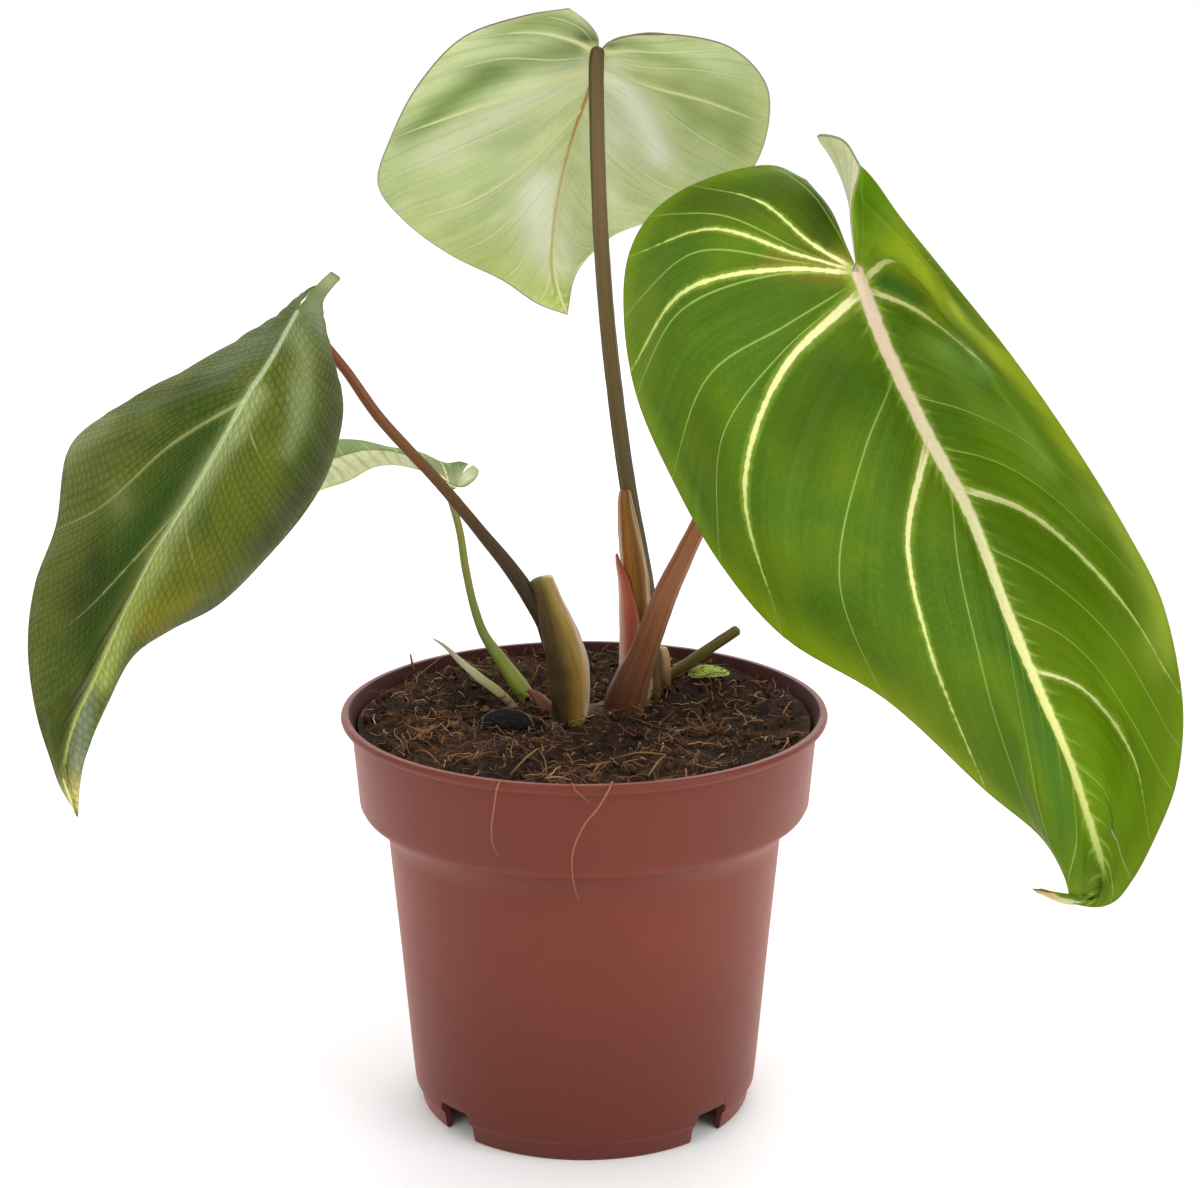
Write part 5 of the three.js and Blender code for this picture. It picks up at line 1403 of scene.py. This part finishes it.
def peat(dark, light):
    """Potting soil: dark crumbs with paler, drier bits and fine threads."""
    paint = Paint("peat", **{"Specular IOR Level": 0.2})
    lumps = paint.noise(PEAT_SCALE, 6, 0.65)
    bits = paint.cells(PEAT_SCALE * 2.2)
    threads = paint.noise(PEAT_SCALE * 1.6, 2, 0.5, distortion=2.5)
    patches = paint.noise(42, 2).ramp(0.44, 0.6)
    colour = paint.stops(lumps, {0.3: toned(dark, 0.45), 0.5: dark, 0.72: light})
    colour = paint.mix((1 - bits.ramp(0.05, 0.35)) * 0.3, colour, light)
    thread = 1 - paint.math("ABSOLUTE", threads - 0.5).ramp(0.0, 0.02)
    colour = paint.mix(thread * 0.35, colour, toned(light, 2.2))
    colour = paint.mix(0.75 - patches * 0.6, colour, toned(dark, 0.35))
    return paint.finish(colour, 0.93, lumps * 1.2 + thread * 0.3, 1.2)


def model_of(piece):
    """The points in millimetres and the faces of a piece, which is then removed."""
    mesh = piece.data
    points = np.empty(len(mesh.vertices) * 3)
    mesh.vertices.foreach_get("co", points)
    faces = [tuple(face.vertices) for face in mesh.polygons]
    bpy.data.objects.remove(piece)
    bpy.data.meshes.remove(mesh)
    return points.reshape(-1, 3) / MM, faces


def strew(name, copies):
    """One piece out of many copies of (model, 3 by 3 turn and scale, place, shade)."""
    points, faces, shades = [], [], []
    count = 0
    for (model_points, model_faces), turn, place, shade in copies:
        points.append(model_points @ np.asarray(turn).T + place)
        faces.extend(tuple(corner + count for corner in face) for face in model_faces)
        shades.append(np.full(len(model_points), shade))
        count += len(model_points)
    mesh = bpy.data.meshes.new(name)
    mesh.from_pydata(np.concatenate(points) * MM, [], faces)
    mesh.update()
    piece = bpy.data.objects.new(name, mesh)
    bpy.context.collection.objects.link(piece)
    give_attribute(piece, "shade", np.concatenate(shades))
    smooth(piece)
    return piece


def crumb_model(index):
    clear_choice()
    bpy.ops.mesh.primitive_ico_sphere_add(subdivisions=1, radius=MM)
    crumb = named_new_object(f"crumb_model_{index}")
    for vertex in crumb.data.vertices:
        spot = vertex.co / MM
        vertex.co *= 1 + 0.8 * noise.noise(spot * 1.1 + Vector((9 * index, 2, 5)))
    return model_of(crumb)


def fibre_model(index, draw):
    """A thin bent coir fibre, 10 mm long and lying along the X axis."""
    route = []
    bend = draw.uniform(-1, 1)
    for part in (0, 0.2, 0.4, 0.6, 0.8, 1):
        curve = bend * math.sin(math.pi * part) + draw.uniform(-0.2, 0.2)
        route.append((10 * part - 5, curve, 0.5 * math.sin(3 * part + index) + draw.uniform(-0.1, 0.1),
                      0.16 * (1 - 0.6 * part)))
    fibre = tube(f"fibre_model_{index}", route, 3, 1.1)
    return model_of(fibre)


def turned(heading, tilt=0.0, roll=0.0, scale=(1, 1, 1)):
    turn = Matrix.Rotation(heading, 3, "Z") @ Matrix.Rotation(tilt, 3, "Y") @ Matrix.Rotation(roll, 3, "X")
    return np.array(turn) @ np.diag(scale)


def on_soil(draw):
    """A place on the soil, drawn evenly over its area."""
    angle = draw.uniform(0, 2 * math.pi)
    reach = SOIL_RADIUS * STREWN_REACH * math.sqrt(draw.random())
    x, y = reach * math.cos(angle), reach * math.sin(angle)
    return x, y, float(soil_height(np.float64(x), np.float64(y)))


# What a user would change


def colour_setting(name, description, default):
    return bpy.props.FloatVectorProperty(
        name=name, description=description, default=linear(default), subtype="COLOR", size=3, min=0, max=1)


class PotSettings(bpy.types.PropertyGroup):
    steps: bpy.props.IntProperty(
        name="Turning steps", description="Faces round the pot", default=144, min=48, max=256)
    edge: bpy.props.FloatProperty(
        name="Edge rounding", description="Radius that softens the pot's edges",
        default=0.28 * MM, min=0.0, unit="LENGTH")
    colour: colour_setting("Plastic", "Colour of the moulded plastic", "#74372a")


class SoilSettings(bpy.types.PropertyGroup):
    crumbs: bpy.props.IntProperty(
        name="Crumbs", description="Loose crumbs on the soil", default=1300, min=0)
    threads: bpy.props.IntProperty(
        name="Threads", description="Coir threads on the soil", default=1600, min=0)
    dark: colour_setting("Dark soil", "Colour of damp crumbs", "#392517")
    light: colour_setting("Light soil", "Colour of dry crumbs", "#845a34")
    thread: colour_setting("Thread colour", "Colour of the coir threads", "#a07848")


class LeafSettings(bpy.types.PropertyGroup):
    deep: colour_setting("Deep green", "Darker ground of the largest leaf", GREEN_UPPER["deep"])
    fresh: colour_setting("Fresh green", "Lighter ground of the largest leaf", GREEN_UPPER["fresh"])
    sheen: bpy.props.FloatProperty(
        name="Velvet", description="Sheen of the leaves' upper side", default=0.02, min=0, max=1,
        subtype="FACTOR")


class StudioSettings(bpy.types.PropertyGroup):
    floor: bpy.props.FloatProperty(
        name="Floor size", description="Side of the pale floor", default=40.0, unit="LENGTH")
    lens: bpy.props.FloatProperty(
        name="Focal length", description="Of the camera, in millimetres", default=78.798)
    world: bpy.props.FloatProperty(
        name="Surround", description="Strength of the white surround", default=1.12, min=0)
    key: bpy.props.FloatProperty(
        name="Key light", description="Power of the main soft light", default=8.0, unit="POWER")


# One operator for each piece or group of like pieces


def hand_over(piece, slot, *nodes):
    """Puts a finished piece on the plant's body, in place of its solids; the slot is not used."""
    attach(piece, BODY)
    if nodes:
        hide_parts(*nodes)


class PLANT_OT_pot(bpy.types.Operator):
    """Spin the nursery pot from its profile and cut its drains and foot notches"""
    bl_idname = "plant.pot"
    bl_label = "Nursery pot"

    def execute(self, context):
        settings = context.scene.plant_pot
        profile = [*POT_DISH_UNDER, *POT_SKIRT, *POT_OUTSIDE, *POT_INSIDE, *POT_DISH_INSIDE]
        pot = spun("nursery_pot", profile, settings.steps)
        for index in range(DRAIN_COUNT):
            cut(pot, drain_cutter(index))
        for degrees in NOTCH_ANGLES:
            cut(pot, notch_cutter(degrees))
        weld(pot)
        apply_modifier(pot, "BEVEL", width=settings.edge, segments=2, limit_method="ANGLE",
                       angle_limit=math.radians(SHARPEST_SMOOTH))
        smooth(pot, POT_SMOOTHING)
        pot.data.materials.append(pot_plastic(settings.colour))
        pot.data.materials.append(pot_inside_shade())
        # Faces of the inner wall above the soil take the painted shade.
        for face in pot.data.polygons:
            outward = Vector((face.center.x, face.center.y, 0)).normalized()
            if face.center.z > INSIDE_HEIGHT * MM and face.normal.dot(outward) < -0.3:
                face.material_index = 1
        hand_over(pot, "pot", "pot")
        return {"FINISHED"}


class PLANT_OT_soil(bpy.types.Operator):
    """Make the soil's lumpy top and the body below it"""
    bl_idname = "plant.soil"
    bl_label = "Potting soil"

    def execute(self, context):
        settings = context.scene.plant_soil
        soil = shaped_grid("potting_soil", soil_points(SOIL_TURNS, SOIL_RINGS))
        weld(soil, outward=True)
        smooth(soil, 70)
        soil.data.materials.append(peat(settings.dark, settings.light))
        hand_over(soil, "soil", "soil")
        return {"FINISHED"}


# Straws and roots, as (x, y, z, radius)
STRAWS = [
    [(-17, -44, 99.3, 0.2), (-13.5, -41, 102.3, 0.28), (-10.6, -38.5, 104, 0.2)],
    [(-10.6, -38.5, 104, 0.15), (-9, -39.5, 101.5, 0.18), (-8.5, -42, 99.2, 0.15)],
    [(6.9, -32.2, 99.4, 0.15), (13, -31, 100.4, 0.25), (19.4, -30.5, 99.8, 0.2)],
    [(19.4, -30.5, 99.6, 0.2), (17.5, -38, 100.6, 0.28), (14.9, -45.2, 99.4, 0.2)],
    [(1.3, -47.4, 99.2, 0.15), (3.5, -41, 100.6, 0.22), (6.2, -34.4, 99.4, 0.15)],
    [(-46, 24, 99.6, 0.15), (-42, 32, 101.5, 0.16), (-37.5, 39, 103.5, 0.12)],
    [(-40.3, -27, 99.5, 0.15), (-37, -32, 101, 0.22), (-33.6, -38, 100, 0.15)],
    [(-44.5, 36, 98.6, 0.42), (-45, 36.3, 102, 0.34), (-45.5, 36.5, 105, 0.2)],
]


class PLANT_OT_litter(bpy.types.Operator):
    """Strew crumbs and coir threads over the soil"""
    bl_idname = "plant.litter"
    bl_label = "Crumbs and threads"

    def execute(self, context):
        settings = context.scene.plant_soil
        draw = random.Random(LITTER_SEED)
        crumbs = [crumb_model(k) for k in range(CRUMB_KINDS)]
        copies = []
        for _ in range(settings.crumbs):
            x, y, z = on_soil(draw)
            size = 0.3 + 1.1 * draw.random() ** 4
            turn = turned(draw.uniform(0, FULL_TURN), draw.uniform(0, FULL_TURN), 0,
                          (size, size * draw.uniform(0.6, 1), size * draw.uniform(0.45, 0.9)))
            copies.append((draw.choice(crumbs), turn, (x, y, z + size * 0.25), draw.random()))
        piece = strew("soil_crumbs", copies)
        paint = Paint("crumb", **{"Specular IOR Level": 0.2})
        lumps = paint.noise(900, 4, 0.6)
        shade = paint.number("shade")
        colour = paint.mix(shade ** 5 * 0.6 + (lumps - 0.5) * 0.4, toned(settings.dark, 0.7),
                           settings.light)
        piece.data.materials.append(paint.finish(colour, 0.92, lumps * 0.4))
        hand_over(piece, "soil")

        threads = [fibre_model(k, draw) for k in range(THREAD_KINDS)]
        copies = []
        for _ in range(settings.threads):
            x, y, z = on_soil(draw)
            if noise.noise(Vector((0.06 * x, 0.06 * y, 4))) < draw.uniform(-0.4, 0.15):
                x, y, z = on_soil(draw)
            size = 0.12 + 0.65 * draw.random() ** 1.7
            girth = draw.uniform(0.5, 1.5)
            turn = turned(draw.uniform(0, FULL_TURN), draw.uniform(-0.45, 0.45),
                          draw.uniform(0, FULL_TURN), (size, girth, girth))
            lift = 0.9 + 1.2 * draw.random()
            copies.append((draw.choice(threads), turn, (x, y, z + lift), draw.random()))
        piece = strew("coir_threads", copies)
        paint = Paint("coir")
        colour = paint.stops(paint.number("shade"), {0: "#1c120c", 0.35: "#4a2c1a", 0.7: "#7a4c2a",
                                                     0.96: settings.thread, 1: "#c8a468"})
        piece.data.materials.append(paint.finish(colour, 0.75 + paint.noise(2500) * 0.1))
        hand_over(piece, "soil")

        straws = join("straws", [tube(f"straw_{k + 1}", route, 8, 0.7, wobble=0.08)
                                 for k, route in enumerate(STRAWS)])
        straws.data.materials.append(stem_skin("straw"))
        hand_over(straws, "soil")
        return {"FINISHED"}


RHIZOME = [
    (-9, -1, 93.5, 4.6), (0, 6, 94.5, 5.4), (9, 14, 94, 5.8), (17, 24, 93.4, 5.2), (21, 31, 94.4, 3.4),
]
ROOTS = [
    [(-4, 2, 94, 1.4), (-9, -8, 92, 1.1), (-14, -20, 88, 0.9), (-18, -30, 84, 0.7)],
    [(3, 6, 94, 1.4), (8, -6, 91, 1.2), (12, -18, 86, 1), (18, -28, 78, 0.7)],
    [(9, 16, 94, 1.4), (22, 10, 91, 1.2), (34, 4, 85, 0.9), (40, -4, 76, 0.7)],
    [(12, 20, 94, 1.4), (4, 30, 91, 1.2), (-6, 38, 86, 0.9), (-14, 42, 76, 0.7)],
    [(6, 10, 93, 1.6), (6, 8, 84, 1.3), (2, 6, 70, 1), (4, 2, 52, 0.8)],
]


class PLANT_OT_rhizome(bpy.types.Operator):
    """Lay the creeping stem and its roots in the soil"""
    bl_idname = "plant.rhizome"
    bl_label = "Creeping stem and roots"

    def execute(self, context):
        stem = tube("creeping_stem", RHIZOME, 28, 0.8, ringed, wobble=0.12)
        stem.data.materials.append(stem_skin("creeping_stem"))
        hand_over(stem, "rhizome", "rhizome")
        skin = stem_skin("root")
        for index, route in enumerate(ROOTS):
            root = tube(f"root_{index + 1}", route, 10, 1.2, wobble=0.15)
            root.data.materials.append(skin)
            hand_over(root, "rhizome")
        return {"FINISHED"}


# Each stem with its node and route, the faces round it, what shapes it, and its finish
STEMS = [
    ("petiole_right", "right_stalk", RIGHT_STALK, 36, {"wobble": 0.04, "section": winged}, "pink_stalk"),
    ("petiole_back", "back_stalk", BACK_STALK, 24, {"wobble": 0.03}, "olive_stalk"),
    ("petiole_left", "left_stalk", LEFT_STALK, 24, {"wobble": 0.03}, "dark_stalk"),
    ("petiole_young", "young_stalk", YOUNG_STALK, 20, {"wobble": 0.03}, "green_stalk"),
    ("sheath_left", "left_sheath", LEFT_SHEATH, 36, {"wobble": 0.06, "rounding": 0.3}, "ochre_sheath"),
    ("sheath_back", "back_sheath", BACK_SHEATH, 32, {"wobble": 0.07, "rounding": 0.3}, "brown_sheath"),
    ("bract_red", "red_bract", RED_BRACT, 28, {"wobble": 0.05}, "red_bract"),
    ("stub_olive", "olive_stub", OLIVE_STUB, 20, {"wobble": 0.05}, "olive_stub"),
    ("stub_pale", "pale_stub", PALE_STUB, 16, {"wobble": 0.18, "rounding": 0.35}, "pale_stub"),
    ("strip_dry", "dry_strip", DRY_STRIP, 20, {"wobble": 0.1, "section": flat_strip}, "dry_strip"),
    ("bract_small", "small_bract", SMALL_BRACT, 16, {"wobble": 0.1}, "small_bract"),
]
SLOT_OF_NODE = {"dry_strip": "dry_scrap", "small_bract": "red_bract"}


class PLANT_OT_stems(bpy.types.Operator):
    """Grow the leaf stalks, their sheaths, the bracts and the stubs of old stalks"""
    bl_idname = "plant.stems"
    bl_label = "Stalks and sheaths"

    def execute(self, context):
        for name, node, route, sides, options, finish in STEMS:
            stem = tube(name, route, sides, STEM_SPACING, **{"section": ridged, **options})
            stem.data.materials.append(stem_skin(finish))
            hand_over(stem, SLOT_OF_NODE.get(node, node), node)
        return {"FINISHED"}


# Each scrap with its node, place, size, arch, tilt, heading in degrees and its three colours
# The bark chip's rim colour is a painted highlight along its far edge; the green scrap's is a tan edge.
SCRAPS = [
    ("bark_scrap", "bark_chip", (-19.5, -0.5, 99.5), (14, 8, 1.4), 1.6, 0.25, -8,
     "#0e0b0a", "#1c1814", "#6e6256"),
    ("green_scrap", "green_chip", (32, 32.5, 101.6), (11, 8.5, 1), 0.9, 0.09, 12,
     "#8aa040", "#aebc60", "#b49c60"),
]


class PLANT_OT_scraps(bpy.types.Operator):
    """Lay the chip of bark and the torn bit of leaf on the soil"""
    bl_idname = "plant.scraps"
    bl_label = "Scraps"

    def execute(self, context):
        for name, node, place, size, arch, tilt, heading, dark, light, rim in SCRAPS:
            length, width, thick = size
            clear_choice()
            bpy.ops.mesh.primitive_uv_sphere_add(segments=48, ring_count=24, radius=1)
            scrap = named_new_object(name)
            turn = Matrix.Rotation(math.radians(heading), 3, "Z")
            border = []
            for vertex in scrap.data.vertices:
                x, y, z = vertex.co
                # The border leans to the far side, where the painted highlight lies.
                border.append(math.hypot(x, y) + 0.08 * y)
                edge = 1 + 0.14 * noise.noise(Vector((2.2 * x, 2.2 * y, length)))
                spot = Vector((x * length / 2 * edge, y * width / 2 * edge,
                               z * thick / 2 - arch * x * x + tilt * y * width / 2))
                vertex.co = (turn @ spot + Vector(place)) * MM
            smooth(scrap)
            give_attribute(scrap, "border", border)
            paint = Paint(name, **{"Specular IOR Level": 0.08})
            grain = paint.noise(500, 4, 0.6)
            colour = paint.mix(grain.ramp(0.45, 0.7), dark, light)
            # The rim colour round the border: on the bark chip a painted highlight.
            colour = paint.mix((paint.number("border") + (grain - 0.5) * 0.2).ramp(0.92, 0.99), colour, rim)
            scrap.data.materials.append(paint.finish(colour, 0.85, grain * 0.4))
            hand_over(scrap, node, node)
        return {"FINISHED"}


# Each leaf with its node and blade, the look that gives its shape and spots, and the looks of its
# upper side and its underside
LEAVES = [
    ("leaf_right", "right_blade", RIGHT_BLADE, RIGHT_LOOK, RIGHT_LOOK, RIGHT_UNDER),
    ("leaf_left", "left_blade", LEFT_BLADE, LEFT_LOOK, LEFT_LOOK, PALE_UNDER),
    ("leaf_back", "back_blade", BACK_BLADE, BACK_LOOK, GREEN_UPPER, BACK_LOOK),
    ("leaf_young", "young_blade", YOUNG_BLADE, YOUNG_LOOK, YOUNG_UPPER, YOUNG_LOOK),
]


class PLANT_OT_leaves(bpy.types.Operator):
    """Shape the four heart-shaped blades from their ribs and paint both sides"""
    bl_idname = "plant.leaves"
    bl_label = "Leaves"

    def execute(self, context):
        settings = context.scene.plant_leaves
        for name, node, blade, shape, upper, under in LEAVES:
            if name == "leaf_right":
                upper = {**upper, "deep": settings.deep, "fresh": settings.fresh}
            skins = (leaf_skin(f"{name}_upper", upper, "tint_above", 0.6, settings.sheen),
                     leaf_skin(f"{name}_under", under, "tint_below", 0.55, 0.05))
            hand_over(build_blade(name, blade, shape, skins), node, node)
        return {"FINISHED"}


RIM_FIBRES = [
    [(-17, -49, 96.5, 0.25), (-18.5, -56.5, 102.2, 0.25), (-19.3, -58.6, 101.5, 0.24),
     (-20.2, -58.8, 96, 0.22), (-20.8, -58.4, 91, 0.2), (-20.4, -58, 87, 0.17), (-19.3, -57.8, 84.5, 0.1)],
    [(7, -50, 96.8, 0.3), (6.6, -58, 102.4, 0.3), (6, -60.6, 101.8, 0.3), (3.5, -61.2, 97.5, 0.28),
     (0.5, -61, 93.5, 0.26), (-2.2, -60.6, 87, 0.24), (-2.4, -60.2, 81, 0.2), (-1.7, -59.8, 77, 0.16),
     (-0.8, -59.4, 74, 0.1)],
    [(-3, -52, 97, 0.22), (-2.4, -58.5, 102.3, 0.22), (-1.8, -60.7, 101.6, 0.2), (0, -61, 100, 0.16),
     (1.6, -60.8, 98.3, 0.1)],
]


class PLANT_OT_rim_fibres(bpy.types.Operator):
    """Hang the thin roots that have grown out over the pot's lip"""
    bl_idname = "plant.rim_fibres"
    bl_label = "Roots over the lip"

    def execute(self, context):
        skin = stem_skin("rim_fibre")
        for index, route in enumerate(RIM_FIBRES):
            thin = [(x, y, z, 0.8 * girth) for x, y, z, girth in route]
            fibre = tube(f"rim_root_{index + 1}", thin, 8, 0.7, wobble=0.15)
            fibre.data.materials.append(skin)
            hand_over(fibre, "rhizome")
        return {"FINISHED"}


# The camera stands where the photograph was taken from; its pitch is in degrees below the level
CAMERA_PLACE = (3.86, -620, 296.5)
CAMERA_PITCH = 14.955
SENSOR_WIDTH = 36
CLIP_START = 0.01

# The surround is brighter behind the plant than behind the camera
SURROUND_FRONT = 0.45
SURROUND_BACK = 1.35

# Soft round lights, in metres: place, size across, and power as a share of the key light's
LIGHTS = [
    ("key_light", (-0.9, -1.3, 1.3), 1.4, 0.95),
    ("fill_light", (1.2, -0.8, 0.9), 1.2, 1.5),
    ("back_light", (0.2, 1.2, 1.2), 1.2, 0.8),
]
LIGHT_AIM = (0, 0, 0.13)


class PLANT_OT_studio(bpy.types.Operator):
    """Set the pale floor, the soft lights and the camera"""
    bl_idname = "plant.studio"
    bl_label = "Studio"

    def execute(self, context):
        settings = context.scene.plant_studio
        clear_choice()
        bpy.ops.mesh.primitive_plane_add(size=settings.floor)
        floor = named_new_object("studio_floor")
        paint = Paint("floor")
        cloud = paint.noise(3, 2)
        colour = paint.mix(cloud, (0.96, 0.96, 0.96), (0.97, 0.97, 0.97))
        floor.data.materials.append(paint.finish(colour, 0.9))

        for name, place, size, share in LIGHTS:
            bpy.ops.object.light_add(type="AREA", location=place)
            light = bpy.context.object
            light.name = name
            light.data.shape = "DISK"
            light.data.size = size
            light.data.energy = settings.key * share
            aim = Vector(LIGHT_AIM) - Vector(place)
            light.rotation_euler = aim.to_track_quat("-Z", "Y").to_euler()

        world = bpy.data.worlds.new("white_surround")
        world.use_nodes = True
        nodes = Nodes(world.node_tree)
        way = nodes.node("ShaderNodeTexCoord").outputs["Generated"]
        parts = nodes.node("ShaderNodeSeparateXYZ", {}, {"Vector": way})
        strength = nodes.node("ShaderNodeMapRange", {}, {
            "Value": parts.outputs["Y"], "From Min": -1, "From Max": 1,
            "To Min": settings.world * SURROUND_FRONT, "To Max": settings.world * SURROUND_BACK})
        surround = nodes.node("ShaderNodeBackground", {}, {
            "Color": "#ffffff", "Strength": strength.outputs["Result"]})
        nodes.node("ShaderNodeOutputWorld", {}, {"Surface": surround.outputs[0]})
        context.scene.world = world
        context.scene.view_settings.view_transform = "Standard"

        bpy.ops.object.camera_add(location=[part * MM for part in CAMERA_PLACE])
        camera = bpy.context.object
        camera.name = "photo_camera"
        camera.rotation_euler = (math.radians(90 - CAMERA_PITCH), 0, 0)
        camera.data.lens = settings.lens
        camera.data.sensor_width = SENSOR_WIDTH
        camera.data.clip_start = CLIP_START
        context.scene.camera = camera
        return {"FINISHED"}


class PLANT_PT_panel(bpy.types.Panel):
    """Lists the plant's pieces in the order they are built"""
    bl_idname = "PLANT_PT_panel"
    bl_label = "Potted Philodendron"
    bl_space_type = "VIEW_3D"
    bl_region_type = "UI"
    bl_category = "Plant"

    def draw(self, context):
        layout = self.layout
        for step in STEPS:
            layout.operator(step.bl_idname)
        for key in SETTINGS:
            group = getattr(context.scene, key)
            box = layout.box()
            for name in group.__annotations__:
                box.prop(group, name)


STEPS = [
    PLANT_OT_studio, PLANT_OT_pot, PLANT_OT_soil, PLANT_OT_litter, PLANT_OT_rhizome, PLANT_OT_stems,
    PLANT_OT_scraps, PLANT_OT_leaves, PLANT_OT_rim_fibres,
]
SETTINGS = {
    "plant_pot": PotSettings, "plant_soil": SoilSettings, "plant_leaves": LeafSettings,
    "plant_studio": StudioSettings,
}
CLASSES = [*SETTINGS.values(), *STEPS, PLANT_PT_panel]


def register():
    for made in CLASSES:
        bpy.utils.register_class(made)
    for key, group in SETTINGS.items():
        setattr(bpy.types.Scene, key, bpy.props.PointerProperty(type=group))


def unregister():
    for key in SETTINGS:
        delattr(bpy.types.Scene, key)
    for made in reversed(CLASSES):
        bpy.utils.unregister_class(made)


def main():
    register()
    for step in STEPS:
        family, _, name = step.bl_idname.partition(".")
        getattr(getattr(bpy.ops, family), name)()


if __name__ == "__main__":
    main()
